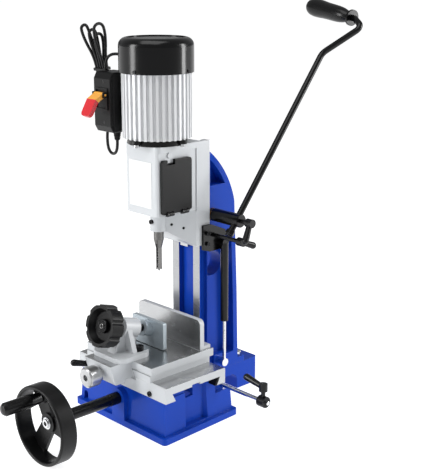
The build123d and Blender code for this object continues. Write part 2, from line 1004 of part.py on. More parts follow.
def table():
    """Top slide: table with its ground work strip, dovetail keel and the feed screw's block."""
    slab_bottom = rail_top + way_gap
    body = block(-table_half, table_half, table_front, table_back, slab_bottom, table_top)
    edge = table_half + overrun
    body = body - block(-edge, edge, strip_front, strip_back, table_top - strip_depth, table_top + overrun)
    keel_bottom = rail_top - keel_depth + way_gap
    keel = outline([
        (-keel_half + keel_undercut, slab_bottom + overrun),
        (-keel_half + keel_undercut, slab_bottom),
        (-keel_half, keel_bottom),
        (keel_half, keel_bottom),
        (keel_half - keel_undercut, slab_bottom),
        (keel_half - keel_undercut, slab_bottom + overrun),
    ])
    body = body + prism_y(keel, table_front, table_back)
    side = outline([
        (table_front, table_top), (block_front, table_top),
        (block_front + block_slope, block_bottom), (saddle_front - table_forward_gap(), block_bottom),
        (saddle_front - table_forward_gap(), keel_bottom), (table_front, keel_bottom),
    ])
    body = body + prism_x(side, -block_half, block_half)
    tunnel = feed_nut_width / 2 + feed_tunnel_gap
    start = feed_nut_middle - feed_nut_length / 2 - table_rearward - feed_tunnel_gap
    end = feed_nut_middle + feed_nut_length / 2 + table_forward + feed_tunnel_gap
    nut_top = feed_axis_z + feed_nut_height / 2 + feed_tunnel_gap
    body = body - block(-tunnel, tunnel, start, end, keel_bottom - overrun, nut_top)
    body = body - round_y(0, feed_axis_z, feed_screw_radius + shaft_gap, block_front - overrun, start)
    body = body - round_y(0, feed_axis_z, feed_screw_radius + feed_tunnel_gap, start, end + feed_tunnel_gap)
    depth = table_lock_depth + side_gap
    lock = clamp_stud_radius + shaft_gap
    return body - round_x(table_lock_y, table_lock_z, lock, -block_half - overrun, depth - block_half)


def table_forward_gap():
    """Room between the front block and the saddle with the table fully back."""
    return table_rearward + feed_tunnel_gap


def table_gib():
    """Slanted gib strip between the keel and the right-hand rail."""
    thick = table_gib_thickness - way_gap
    bottom = rail_top - keel_depth + way_gap
    face = outline([
        (keel_half + way_gap, bottom),
        (keel_half + thick, bottom),
        (keel_half - keel_undercut + thick, rail_top),
        (keel_half - keel_undercut + way_gap, rail_top),
    ])
    return prism_y(face, table_front, saddle_back - overrun)


def fence_rib_places():
    """Rib positions across the fence."""
    step = 2 * fence_half / fence_rib_count
    return [-fence_half + step * (index + 1 / 2) for index in range(fence_rib_count)]


def fence():
    """Upright fence behind the work, with a foot and ribs at its back."""
    back = fence_face + fence_thickness
    body = block(-fence_half, fence_half, fence_face, back, table_top, table_top + fence_height)
    body = fillet(body.edges().filter_by(Axis.Y).group_by(Axis.Z)[-1], fence_thickness)
    body = body + block(
        -fence_half, fence_half, back, back + fence_foot, table_top, table_top + fence_rib
    )
    rib = outline([
        (back, table_top), (back + fence_foot, table_top),
        (back + fence_foot, table_top + fence_rib), (back, table_top + fence_height - fence_thickness),
    ])
    for x in fence_rib_places():
        body = body + prism_x(rib, x - fence_rib / 2, x + fence_rib / 2)
    for x, y in fence_screw_places():
        body = body - round_z(x, y, fence_screw_radius, table_top - overrun, table_top + fence_height)
    return body


def fence_screw_places():
    """Centres of the fence's holding screws, between its ribs."""
    y = fence_face + fence_thickness + fence_foot / 2
    ribs = fence_rib_places()
    return [((ribs[index] + ribs[index + 1]) / 2, y) for index in (0, len(ribs) - 2)]


def table_screws():
    """Black cap screws that hold the fence and the clamp bracket to the table."""
    return gathered(fence_screws() + clamp_bracket_bolts())


def fence_screws():
    """Cap screws of the fence."""
    seat = table_top + fence_rib
    solids = []
    for x, y in fence_screw_places():
        head = round_z(x, y, fence_screw_head, seat, seat + fence_screw_head)
        head = head - round_z(
            x, y, fence_screw_head / 2, seat + fence_screw_head / 2, seat + fence_screw_head + overrun
        )
        solids.append(head + round_z(x, y, fence_screw_radius, table_top, seat))
    return solids


def feed_screw():
    """Feed screw with its thrust collar against the front block."""
    shape = round_y(0, feed_axis_z, feed_screw_radius, feed_knob_front + feed_socket_depth, feed_screw_back)
    return shape


def feed_knob():
    """Chrome knob on the feed screw: round face with a socket, and a waist behind it."""
    gap_end = block_edge_y(feed_axis_z + feed_knob_neck) - side_gap
    head_end = feed_knob_front + feed_knob_length
    head = round_y(0, feed_axis_z, feed_knob_radius, feed_knob_front, head_end)
    head = chamfer(head.edges().group_by(Axis.Y)[0], feed_socket_depth / 4)
    neck = round_y(0, feed_axis_z, feed_knob_neck, head_end, gap_end)
    socket = round_y(
        0, feed_axis_z, feed_socket_radius, feed_knob_front - overrun,
        feed_knob_front + feed_socket_depth,
    )
    bore = round_y(0, feed_axis_z, feed_screw_radius, feed_knob_front, gap_end + overrun)
    return head + neck - socket - bore


def block_edge_y(z):
    """Front face of the sloping front block at one height."""
    rate = block_slope / (table_top - block_bottom)
    return block_front + rate * (table_top - z)


def feed_nut():
    """Bronze nut on the saddle that the feed screw runs through."""
    floor = rail_top - keel_depth
    half = feed_nut_width / 2
    y0 = feed_nut_middle - feed_nut_length / 2
    y1 = feed_nut_middle + feed_nut_length / 2
    body = block(-half, half, y0, y1, floor, feed_axis_z + feed_nut_height / 2)
    return body - round_y(0, feed_axis_z, feed_screw_radius + side_gap, y0 - overrun, y1 + overrun)


def clamp_lever_solid(arm, stud, turn):
    """Indexable clamp lever: hub on local Z, a flared arm sweeping out of it, and a stud below."""
    hub = Cylinder(clamp_head_radius, clamp_head_length)
    rise = math.radians(clamp_arm_flare)
    plane = Plane(origin=(0, 0, 0), z_dir=(math.cos(rise), 0, math.sin(rise)))
    start = Plane.XY * Circle(clamp_arm_start_radius)
    end = Plane.XY.offset(arm) * Circle(clamp_arm_end_radius)
    bar = plane * loft([start, end])
    tip = plane * Pos(0, 0, arm) * Sphere(clamp_arm_end_radius)
    pin = Pos(0, 0, -(clamp_head_length + stud) / 2) * Cylinder(clamp_stud_radius, stud)
    return Rot(0, 0, turn) * (hub + bar + tip + pin)


def table_lock_lever():
    """Short black lever on the front block's left side that locks the table."""
    x = -block_half - clamp_head_length / 2 - side_gap
    lever = clamp_lever_solid(table_lock_arm, table_lock_depth, table_lock_turn)
    plane = Plane(origin=(x, table_lock_y, table_lock_z), x_dir=(0, 1, 0), z_dir=(-1, 0, 0))
    return plane * lever


def clamp_direction():
    """Direction in which the clamp screw advances."""
    tilt = math.radians(clamp_tilt)
    return (0, math.cos(tilt), -math.sin(tilt))


def clamp_plane(along):
    """Plane square to the clamp axis, a given distance from the knob's face."""
    direction = clamp_direction()
    origin = (0, clamp_knob_y + direction[1] * along, clamp_knob_z + direction[2] * along)
    return Plane(origin=origin, x_dir=(1, 0, 0), z_dir=direction)


def clamp_along(y):
    """Distance along the clamp axis at which it reaches a given Y."""
    return (y - clamp_knob_y) / clamp_direction()[1]


def clamp_round(radius, start, end):
    """Cylinder on the clamp axis between two distances from the knob's face."""
    return extrude(clamp_plane(start) * Circle(radius), end - start)


def clamp_bracket_base():
    """Fork-shaped foot of the clamp bracket."""
    z1 = table_top + bracket_base_thickness
    foot = block(-bracket_half, bracket_half, bracket_front, bracket_back, table_top, z1)
    corners = foot.edges().filter_by(Axis.Z)
    foot = fillet(corners, bracket_base_thickness * 2)
    slot_back = bracket_back + overrun
    slot_front = bracket_bolt_y - bracket_bolt_head - side_gap
    for x in (-bracket_bolt_x, bracket_bolt_x):
        foot = foot - block(
            x - bracket_slot_half, x + bracket_slot_half, slot_front, slot_back,
            table_top - overrun, z1 + overrun,
        )
    return foot


def clamp_bracket():
    """Clamp bracket: fork foot, two-way web and the tilted barrel for the screw."""
    body = clamp_bracket_base()
    start = barrel_start
    end = barrel_start + barrel_length
    barrel = clamp_round(barrel_radius, start, end)
    axis_start = clamp_plane(start).origin
    axis_end = clamp_plane(end).origin
    web = outline([
        (bracket_front + bracket_base_thickness, table_top),
        (axis_start.Y, axis_start.Z),
        (axis_end.Y, axis_end.Z),
        (bracket_back - bracket_base_thickness * 2, table_top),
    ])
    body = body + prism_x(web, -bracket_web_half, bracket_web_half)
    cheek = outline([
        (-bracket_half + bracket_base_thickness, table_top),
        (-barrel_radius + overrun, axis_start.Z),
        (barrel_radius - overrun, axis_start.Z),
        (bracket_half - bracket_base_thickness, table_top),
    ])
    cheek_back = bracket_bolt_y - bracket_bolt_head - side_gap
    body = body + prism_y(cheek, cheek_back - bracket_web_half, cheek_back)
    body = body + barrel
    return body - clamp_round(clamp_screw_radius + shaft_gap, 0, clamp_screw_end)


def clamp_bracket_bolts():
    """Cap screws of the clamp bracket, in its slots."""
    seat = table_top + bracket_base_thickness
    solids = []
    for x in (-bracket_bolt_x, bracket_bolt_x):
        head = round_z(x, bracket_bolt_y, bracket_bolt_head, seat, seat + bracket_bolt_height)
        head = head - round_z(
            x, bracket_bolt_y, bracket_socket, seat + bracket_bolt_height / 2,
            seat + bracket_bolt_height + overrun,
        )
        solids.append(head + round_z(x, bracket_bolt_y, bracket_bolt_radius, table_top, seat))
    return solids


def clamp_screw():
    """Black clamp screw from the knob to the plate's boss."""
    return clamp_round(clamp_screw_radius, clamp_dish_depth, clamp_screw_end)


def clamp_knob():
    """Lobed clamp knob with a dished face and a neck behind."""
    rim = Circle(clamp_knob_radius)
    for index in range(clamp_knob_lobes):
        turn = math.tau * (index + 1 / 2) / clamp_knob_lobes
        reach = clamp_knob_radius + clamp_lobe_radius / 3
        rim = rim - Pos(reach * math.cos(turn), reach * math.sin(turn)) * Circle(clamp_lobe_radius)
    body = extrude(clamp_plane(0) * rim, clamp_knob_length)
    body = body + clamp_round(clamp_neck_radius, clamp_knob_length, clamp_knob_length + clamp_neck_length)
    dish = turned([
        (0, -overrun), (clamp_dish_radius + clamp_dish_depth / 2, -overrun),
        (clamp_dish_radius, clamp_dish_depth), (0, clamp_dish_depth),
    ])
    body = body - clamp_plane(0) * dish
    boss = clamp_round(clamp_neck_radius, clamp_dish_depth / 2, clamp_dish_depth + overrun)
    body = body + boss
    return body - clamp_round(clamp_screw_radius, -overrun, clamp_knob_length + clamp_neck_length + overrun)


def clamp_plate():
    """Grey pressure plate with the boss that the clamp screw turns in."""
    z0 = table_top + plate_lift
    z1 = z0 + plate_height
    plate = block(plate_left, plate_right, plate_front, plate_front + plate_thickness, z0, z1)
    plate = fillet(plate.edges().filter_by(Axis.Y), plate_corner)
    start = clamp_along(plate_front) - plate_boss_length
    end = clamp_along(plate_front + plate_thickness / 2)
    boss = clamp_round(plate_boss_radius, start, end)
    bore = clamp_round(clamp_screw_radius + shaft_gap, start - overrun, clamp_screw_end + side_gap)
    return plate + boss - bore


def feed_shaft():
    """Steel shaft from the inner wall out to the sleeve, with its pinion cut in one piece."""
    width = cross_rack_width - 2 * pinion_margin
    y0 = cross_rack_y - width / 2
    gear = prism_y(gear_face(wheel_pinion_teeth), y0, y0 + width)
    end = bearing_wall_front + bearing_wall_depth + bush_flange + side_gap
    return Pos(0, 0, wheel_axis_z) * gear + round_y(
        0, wheel_axis_z, shaft_radius, sleeve_joint_y() - tube_joint, end
    )


def sleeve_joint_y():
    """Back end of the black sleeve, just clear of the boss."""
    return foot_front + rim_width - boss_reach - side_gap


def feed_sleeve():
    """Black sleeve that joins the handwheel to the feed shaft."""
    joint = sleeve_joint_y()
    body = round_y(0, wheel_axis_z, tube_radius, tube_front, joint)
    ring = round_y(0, wheel_axis_z, tube_radius + way_gap * 4, joint - tube_joint, joint)
    bore = round_y(0, wheel_axis_z, shaft_radius, joint - tube_joint, joint + overrun)
    return body + ring - bore


def wheel_ring(outer, inner, y0, y1):
    """A ring on the wheel's axis."""
    ring = round_y(0, wheel_axis_z, outer, y0, y1)
    return ring - round_y(0, wheel_axis_z, inner, y0 - overrun, y1 + overrun)


def handle_place():
    """Centre of the crank handle on the wheel."""
    return (handle_offset_x, wheel_axis_z + handle_offset_z)


def handwheel():
    """Dished handwheel: deep rim, three broad spokes set back from its face, and a hub."""
    rim_back = wheel_front + wheel_width
    inner = wheel_radius - rim_thickness
    rim = wheel_ring(wheel_radius, inner, wheel_front, rim_back)
    rim = fillet(rim.edges().filter_by(GeomType.CIRCLE), rim_round)
    body = rim + round_y(0, wheel_axis_z, hub_radius, hub_face, rim_back + overrun)
    for index in range(spoke_count):
        turn = spoke_turn + 2 * math.degrees(math.pi) * index / spoke_count
        y0 = hub_face + spoke_thickness / 2
        spoke = outline([
            (0, -spoke_half), (inner + rim_thickness / 2, -spoke_half - rim_thickness / 2),
            (inner + rim_thickness / 2, spoke_half + rim_thickness / 2), (0, spoke_half),
        ])
        spoke = prism_y(Rot(0, 0, turn) * spoke, y0, y0 + spoke_thickness)
        body = body + Pos(0, 0, wheel_axis_z) * spoke
    x, z = handle_place()
    pad_y = hub_face + spoke_thickness / 2
    body = body + round_y(x, z, handle_radius, handle_start + side_gap, pad_y + spoke_thickness)
    body = body - round_y(x, z, handle_pin_radius, handle_start - overrun, pad_y + spoke_thickness / 2)
    return body - round_y(0, wheel_axis_z, tube_radius, tube_front, rim_back + 2 * overrun)


def wheel_fasteners():
    """The wheel's centre screw and the pin of its crank handle."""
    return gathered([wheel_screw(), handle_pin()])


def wheel_screw():
    """Chrome washer and screw at the wheel's centre."""
    washer = round_y(0, wheel_axis_z, washer_radius, hub_face - washer_thickness, hub_face)
    head_front = hub_face - washer_thickness - wheel_screw_height
    head = round_y(0, wheel_axis_z, wheel_screw_radius, head_front, hub_face - washer_thickness)
    socket = round_y(0, wheel_axis_z, wheel_screw_radius / 2, head_front - overrun, hub_face)
    return washer + head - socket


def handle_pin():
    """Steel pin of the crank handle, fixed in the wheel."""
    x, z = handle_place()
    inner_end = hub_face + spoke_thickness
    outer_end = handle_start - handle_length * handle_bore_share
    head = round_y(x, z, handle_pin_radius + washer_thickness, outer_end - washer_thickness, outer_end)
    return round_y(x, z, handle_pin_radius, outer_end, inner_end) + head


def crank_handle():
    """Black revolving handle, slightly swelled, domed at its end."""
    x, z = handle_place()
    r0 = handle_neck_radius
    r1 = handle_radius
    length = handle_length
    profile = [
        (0, 0), (r0, 0), (r1, length * handle_swell_share),
        (r1, length - r1 / 2), (r1 * handle_dome_share, length - r1 / 8), (0, length),
    ]
    body = turned(profile)
    bore_end = length * handle_bore_share + washer_thickness + side_gap
    bore = round_z(0, 0, handle_pin_radius + shaft_gap, -overrun, bore_end)
    pocket_start = length * handle_bore_share - side_gap
    pocket = round_z(0, 0, handle_pin_radius + washer_thickness + side_gap, pocket_start, bore_end)
    plane = Plane(origin=(x, handle_start, z), x_dir=(1, 0, 0), z_dir=(0, -1, 0))
    return plane * (body - bore - pocket)


def head_box():
    """Front housing of the head with rounded front corners."""
    y1 = column_front - way_gap
    body = block(-head_half, head_half, head_front, y1, head_floor, head_top)
    corners = body.edges().filter_by(Axis.Z).group_by(Axis.Y)[0]
    return fillet(corners, head_corner)


def head_back():
    """Back plate with the jaws that wrap the column's dovetail ways."""
    y1 = neck_back - side_gap
    plate = block(-head_half, head_half, head_plate_front, y1, head_tail_bottom, head_top)
    wide = column_half + way_gap
    narrow = column_half - flank_undercut + way_gap
    y0 = column_front - way_gap
    cut = outline([
        (-wide, y0), (wide, y0), (narrow, column_front + flank_depth + way_gap),
        (narrow, neck_back), (-narrow, neck_back), (-narrow, column_front + flank_depth + way_gap),
    ])
    return plate - prism_z(cut, head_tail_bottom - overrun, head_top + overrun)


def head_gusset():
    """Tail of the head that widens from the nose back to the plate."""
    front = Pos(0, (nose_bottom + head_floor) / 2) * Rectangle(2 * nose_radius, head_floor - nose_bottom)
    back = Pos(0, (head_tail_bottom + head_floor) / 2) * Rectangle(
        2 * head_half, head_floor - head_tail_bottom
    )
    return loft([
        Plane.XZ.offset(-gusset_front) * front,
        Plane.XZ.offset(-(head_plate_front + overrun)) * back,
    ])


def chuck_chamber():
    """Hollow for the chuck, open through the door opening on the right."""
    inner = head_half - head_wall
    roof = head_top - chamber_roof
    floor = head_floor + chamber_floor
    room = block(-inner, inner, head_front + head_wall, chamber_back, floor, roof)
    margin = door_window_margin
    window = block(
        0, head_half + overrun, door_front + margin, door_back - margin,
        door_bottom + margin, door_top - margin,
    )
    return room + window


def head_panel():
    """Shallow recess round the door on the right face."""
    x0 = head_half - panel_depth
    return block(x0, head_half + overrun, panel_front, panel_back, head_floor - overrun, panel_top)


def head_casting():
    """Pale grey head: chuck housing, nose for the chisel, tail and jaws."""
    body = head_box() + head_back() + head_gusset()
    nose = round_z(0, spindle_y, nose_radius, nose_bottom, head_floor + chamber_floor)
    body = body + nose
    body = body - head_panel() - chuck_chamber()
    spigot = motor_shaft_radius + motor_bore_gap
    body = body - round_z(0, spindle_y, spigot, head_top - chamber_roof - overrun, head_top + overrun)
    body = body - round_z(0, spindle_y, shank_radius, head_tail_bottom, head_floor + chamber_floor + overrun)
    body = body - round_y(0, nose_screw_z(), nose_screw_radius, head_front, nose_front() + overrun)
    for x, y in flange_bolt_places():
        pocket = 2 * flange_bolt_radius() + side_gap
        body = body - on_spindle(round_z(x, y, pocket, head_top - pocket, head_top + overrun))
    rack_half = head_rack_width / 2
    body = body - block(
        -rack_half, rack_half, column_front - head_rack_seat(), column_front,
        head_tail_bottom - overrun, head_rack_top(),
    )
    catch = round_x(catch_place_y(), panel_top - catch_radius - overrun, catch_radius, 0, head_half)
    return body + catch - chuck_chamber() + door_lugs()


def nose_screw_z():
    """Height of the screw in the nose."""
    return (nose_bottom + head_floor) / 2


def nose_front():
    """Front of the nose."""
    return spindle_y - nose_radius


def door_axis():
    """X and Z of the door's hinge line, at its outer face."""
    return head_half - panel_depth + side_gap + door_thickness, door_bottom + door_pin_inset


def door_lug_places():
    """Y stretches of the head's four hinge lugs, one on each side of both knuckles."""
    places = []
    for y in door_pin_places():
        inner = door_lug_half + side_gap
        places.append((y - inner - door_lug_width, y - inner))
        places.append((y + inner, y + inner + door_lug_width))
    return places


def door_lugs():
    """The head's hinge lugs at the foot of the door."""
    x, z = door_axis()
    shape = None
    for y0, y1 in door_lug_places():
        lug = round_y(x, z, door_lug_wall, y0, y1)
        lug = lug + block(head_half - panel_depth - overrun, x, y0, y1, z - door_lug_wall, z + door_lug_wall)
        lug = lug - round_y(x, z, door_pin_radius, y0 - overrun, y1 + overrun)
        shape = lug if shape is None else shape + lug
    return shape


def catch_place_y():
    """Middle of the door's finger notch."""
    return door_front + door_notch_place


def head_rack_seat():
    """Depth of the rack's seat in the back plate."""
    return module_size * 2


def head_rack_top():
    """Upper end of the head's rack."""
    return lever_axis_z + head_rack_count * math.pi * module_size / 2


def head_rack():
    """Upright rack on the head's back, teeth towards the column."""
    pitch_y = lever_axis_y - pitch_radius(lever_pinion_teeth)
    back = pitch_y - column_front + head_rack_seat()
    plane = Plane(origin=(head_rack_width / 2, pitch_y, lever_axis_z), x_dir=(0, 0, 1), z_dir=(-1, 0, 0))
    return extrude(plane * rack_face(head_rack_count, back), head_rack_width)


def rating_plate():
    """Bare white plate on the head's front."""
    return block(
        rating_left, rating_right, head_front - rating_thickness, head_front,
        rating_bottom, rating_top,
    )


def door():
    """Black chuck door with rounded corners, a finger notch and two lugs at its foot."""
    x0 = head_half - panel_depth + side_gap
    x1 = x0 + door_thickness
    body = block(x0, x1, door_front, door_back, door_bottom, door_top)
    body = fillet(body.edges().filter_by(Axis.X), door_corner)
    notch = block(
        x0 - overrun, x1 + overrun, catch_place_y() - door_notch_half, catch_place_y() + door_notch_half,
        door_top - door_notch_depth, door_top + overrun,
    )
    body = body - notch
    knuckle_z = door_bottom + door_pin_inset
    for y0, y1 in door_lug_places():
        body = body - block(
            x0 - overrun, x1 + overrun, y0 - side_gap, y1 + side_gap,
            door_bottom - overrun, knuckle_z + door_lug_wall + overrun,
        )
    for y in door_pin_places():
        body = body + round_y(x1, knuckle_z, door_lug_wall, y - door_lug_half, y + door_lug_half)
    bore = door_pin_radius + shaft_gap
    return body - round_y(x1, knuckle_z, bore, door_front, door_back)


def door_pin_places():
    """Y places of the door's two knuckles."""
    quarter = (door_back - door_front) / 4
    return [door_front + quarter, door_back - quarter]


def door_pins():
    """The door's two short hinge pins, held in the head's lugs."""
    x, z = door_axis()
    reach = door_lug_half + side_gap + door_lug_width
    return gathered([round_y(x, z, door_pin_radius, y - reach, y + reach) for y in door_pin_places()])


def motor_face():
    """Outline of the finned motor body."""
    root = motor_radius - fin_depth
    face = Circle(root)
    width = math.tau * motor_radius / fin_count * fin_share
    for index in range(fin_count):
        turn = math.degrees(math.tau) * index / fin_count
        fin = Pos(root, 0) * Rectangle(2 * fin_depth, width)
        face = face + Rot(0, 0, turn) * fin
    return face


def on_spindle(shape):
    """Moves a shape made about Z onto the spindle line."""
    return Pos(0, spindle_y, 0) * shape


def motor_body():
    """Aluminium motor body with upright fins, a hollow for the rotor and a ring that seats the cover."""
    bottom = head_top + flange_height
    body = prism_z(motor_face(), bottom, motor_top)
    hollow = rotor_radius + side_gap * 2
    middle = (bottom + motor_top) / 2
    half = rotor_length / 2 + fan_plate
    body = body - round_z(0, 0, hollow, middle - half, middle + half)
    body = body - round_z(0, 0, motor_shaft_radius + motor_bore_gap, bottom - overrun, motor_top + overrun)
    body = body - round_z(0, 0, bearing_radius, bottom - overrun, bottom + bearing_height)
    body = body + cover_seat()
    return on_spindle(body - round_z(0, 0, bearing_radius, motor_top - bearing_height, motor_top + overrun))


def motor_flange():
    """Black flange ring under the motor, with bolt ears."""
    top = head_top + flange_height
    body = round_z(0, 0, flange_radius, head_top, top)
    for x, y in flange_bolt_places():
        body = body + round_z(x, y, flange_ear_radius, head_top + flange_height / 3, top)
    radius = flange_bolt_radius()
    for x, y in flange_bolt_places():
        body = body - round_z(x, y, radius, head_top - overrun, top + overrun)
        body = body - round_z(x, y, 2 * radius + side_gap, head_top - overrun, head_top + flange_height / 3)
    body = body - round_z(0, 0, motor_shaft_radius + motor_bore_gap, head_top - overrun, top + overrun)
    return on_spindle(body)


def flange_bolt_radius():
    """Radius of the flange's bolts."""
    return flange_ear_radius / 3


def flange_bolt_places():
    """Centres of the flange's bolts about the spindle line."""
    places = []
    for index in range(flange_ear_count):
        turn = math.radians(flange_ear_turn) + math.tau * index / flange_ear_count
        places.append((flange_ear_reach * math.cos(turn), flange_ear_reach * math.sin(turn)))
    return places


def head_screws():
    """Plated screws on the head: flange bolts, cover screws, nose screw and strut plate screws."""
    return gathered(flange_bolts() + cover_screws() + [head_nose_screw()] + strut_plate_screws())


def flange_bolts():
    """Bolts in the flange's ears, heads down."""
    top = head_top + flange_height / 3
    radius = flange_bolt_radius()
    solids = []
    for x, y in flange_bolt_places():
        bolt = round_z(x, y, radius, top, head_top + flange_height)
        bolt = bolt + round_z(x, y, 2 * radius, top - 2 * radius, top)
        solids.append(on_spindle(bolt))
    return solids


def motor_bearings():
    """Two ball bearings, drawn as rings, that carry the motor shaft."""
    bottom = head_top + flange_height
    low = ring_z(0, 0, bearing_radius, motor_shaft_radius + shaft_gap, bottom, bottom + bearing_height)
    high = ring_z(0, 0, bearing_radius, motor_shaft_radius + shaft_gap, motor_top - bearing_height, motor_top)
    return gathered([on_spindle(low), on_spindle(high)])


def fan_cover():
    """Black fan cover: round-edged cap with a sunk disc in its top."""
    top = motor_top + cover_height
    r = cover_radius
    outer = round_z(0, 0, r, motor_top, top)
    outer = fillet(outer.edges().filter_by(GeomType.CIRCLE).group_by(Axis.Z)[-1], cover_round)
    outer = outer - round_z(0, 0, cover_disc_radius, top - cover_disc_depth, top + overrun)
    inner = round_z(0, 0, r - cover_wall, motor_top - overrun, top - cover_wall - cover_disc_depth)
    inner = fillet(
        inner.edges().filter_by(GeomType.CIRCLE).group_by(Axis.Z)[-1], cover_round - cover_wall
    )
    body = on_spindle(outer - inner)
    for screw in cover_screws():
        body = body - screw
    return body - lead_bushing_cover()


def cover_seat():
    """Ring on the motor's top end that centres the fan cover."""
    r = cover_radius - cover_wall
    ring = ring_z(0, 0, r, r - cover_wall, motor_top, motor_top + cover_wall * 3)
    return ring + ring_z(0, 0, r, bearing_radius - cover_wall, motor_top, motor_top + cover_wall)


def cover_screws():
    """Small screws round the cover's lower edge."""
    solids = []
    z = motor_top + cover_wall * 3 / 2
    for index in range(cover_screw_count):
        turn = cover_screw_turn + math.degrees(math.tau) * index / cover_screw_count
        screw = round_x(0, z, cover_screw_radius, cover_radius - overrun / 2, cover_radius + cover_screw_head)
        solids.append(on_spindle(Rot(0, 0, turn) * screw))
    return solids


def motor_rotor():
    """Rotor with its shaft and fan, down to the chuck."""
    middle = (head_top + flange_height + motor_top) / 2
    bottom = chuck_top - chuck_height / 3
    top = motor_top + fan_lift + fan_height
    shaft = round_z(0, 0, motor_shaft_radius, bottom, top)
    core = round_z(0, 0, rotor_radius, middle - rotor_length / 2, middle + rotor_length / 2)
    return gathered([on_spindle(shaft + core), motor_fan()])


def motor_fan():
    """Fan on the motor shaft's upper end."""
    z0 = motor_top + fan_lift
    body = round_z(0, 0, fan_radius, z0, z0 + fan_plate)
    body = body + round_z(0, 0, fan_hub_radius, z0, z0 + fan_height)
    for index in range(fan_blade_count):
        turn = math.degrees(math.tau) * index / fan_blade_count
        blade = block(0, fan_radius - overrun, -fan_blade / 2, fan_blade / 2, z0, z0 + fan_height)
        body = body + Rot(0, 0, turn) * blade
    body = body - round_z(0, 0, motor_shaft_radius, z0 - overrun, z0 + fan_height + overrun)
    return on_spindle(body)


def drill_chuck():
    """Keyed chuck with a tapered nose and key holes."""
    bottom = chuck_top - chuck_height
    body = turned([
        (0, chuck_top), (chuck_radius - overrun, chuck_top), (chuck_radius, chuck_top - overrun),
        (chuck_radius, bottom + chuck_nose_height), (chuck_nose_radius, bottom), (0, bottom),
    ])
    for index in range(chuck_key_count):
        turn = math.degrees(math.tau) * index / chuck_key_count
        hole = round_x(
            0, bottom + chuck_nose_height + chuck_key_radius * 2, chuck_key_radius,
            chuck_radius - chuck_key_radius * 2, chuck_radius + overrun,
        )
        body = body - Rot(0, 0, turn) * hole
    body = body - round_z(0, 0, motor_shaft_radius, chuck_top - chuck_height / 3, chuck_top + overrun)
    body = body - round_z(0, 0, auger_radius, bottom - overrun, bottom + chuck_nose_height)
    return on_spindle(body)


def chisel():
    """Hollow chisel: round shank, neck, square body with a chip window and bevelled corners."""
    shank = round_z(0, 0, shank_radius, shank_bottom, chisel_top)
    neck = loft([
        Plane.XY.offset(shank_bottom) * Circle(shank_radius),
        Plane.XY.offset(chisel_neck_bottom) * Circle(math.hypot(chisel_side, chisel_side) / 2),
    ])
    half = chisel_side / 2
    square = block(-half, half, -half, half, chisel_tip, chisel_neck_bottom + overrun)
    body = shank + neck + square
    body = body - round_z(0, 0, chisel_bore, chisel_tip - overrun, chisel_top + overrun)
    corner = math.hypot(chisel_side, chisel_side) / 2
    bevel = Solid.make_cone(corner + chisel_bevel / 4, chisel_bore, 2 * chisel_bevel, Plane((0, 0, chisel_tip)))
    body = body - bevel
    window = block(-window_width / 2, window_width / 2, -shank_radius, 0, window_bottom, window_top)
    return on_spindle(body - window)


def auger_bit():
    """Auger bit: plain shank in the chuck, twin flutes in the chisel and a pointed end."""
    chuck_end = chuck_top - chuck_height + chuck_nose_height
    shank = round_z(0, 0, auger_radius, auger_flute_top, chuck_end)
    core = round_z(0, 0, auger_core, chisel_tip + auger_tip_drop, auger_flute_top)
    point = Solid.make_cone(0, auger_core, auger_tip_drop * 2, Plane((0, 0, chisel_tip - auger_tip_drop)))
    height = auger_flute_top - chisel_tip - auger_tip_drop
    steps = round(height / auger_pitch * auger_step_count)
    wing = Rectangle(2 * auger_radius, auger_core)
    sections = []
    for index in range(steps + 1):
        z = chisel_tip + auger_tip_drop + height * index / steps
        turn = -math.degrees(math.tau) * index / auger_step_count
        sections.append(Plane.XY.offset(z) * Rot(0, 0, turn) * (Circle(auger_radius) & wing))
    flutes = loft(sections)
    return on_spindle(shank + core + point + flutes)


def head_nose_screw():
    """Screw in the nose that grips the chisel's shank."""
    z = nose_screw_z()
    start = nose_front()
    head = round_y(0, z, nose_screw_radius, start - nose_screw_head, start + overrun)
    socket = round_y(0, z, nose_screw_radius / 2, start - nose_screw_head - overrun, start - overrun)
    return head - socket


def switch_box():
    """Black switch enclosure left of the motor, with its arm to the motor body and its face plate."""
    body = block(box_left, box_right, box_front, box_back, box_bottom, box_top)
    body = fillet(body.edges(), box_corner)
    arm_z = (box_bottom + box_top) / 2
    arm_y = (box_front + box_back) / 2 + bracket_arm_reach / 2
    arm = block(
        box_right - box_corner, spindle_arm_x(), arm_y - bracket_arm_thickness,
        arm_y + bracket_arm_thickness, arm_z - bracket_arm_height, arm_z + bracket_arm_height,
    )
    body = body + arm - relief_body() - lead_bushing_box()
    return gathered([body, switch_plate()])


def spindle_arm_x():
    """Where the switch box's arm meets the motor body."""
    return -motor_radius + fin_depth / 2


def switch_plate():
    """Face plate of the switch: bevelled above and below, with a raised frame and the paddle's lugs."""
    face_y = box_front - switch_plate_depth
    low = box_bottom + switch_plate_margin
    high = box_top - switch_plate_margin
    side = outline([
        (box_front, low), (face_y, low + switch_plate_bevel), (face_y, high - switch_plate_bevel),
        (box_front, high),
    ])
    body = prism_x(side, box_left + switch_plate_margin, box_right - switch_plate_margin)
    half = switch_frame_half
    body = body + switch_frame_block(half) - switch_frame_block(half - switch_frame_wall)
    for side in (-1, 1):
        x = box_middle_x() + side * (paddle_half + side_gap + paddle_lug / 2)
        y0 = face_y - paddle_hinge_reach
        lug = block(
            x - paddle_lug / 2, x + paddle_lug / 2, y0, box_front, paddle_hinge_z - paddle_hinge_reach / 2,
            paddle_hinge_z + paddle_hinge_reach / 2,
        )
        body = body + lug
    return body - round_x(
        paddle_axis_y(), paddle_hinge_z, paddle_pin_radius + shaft_gap, box_left, box_right
    )


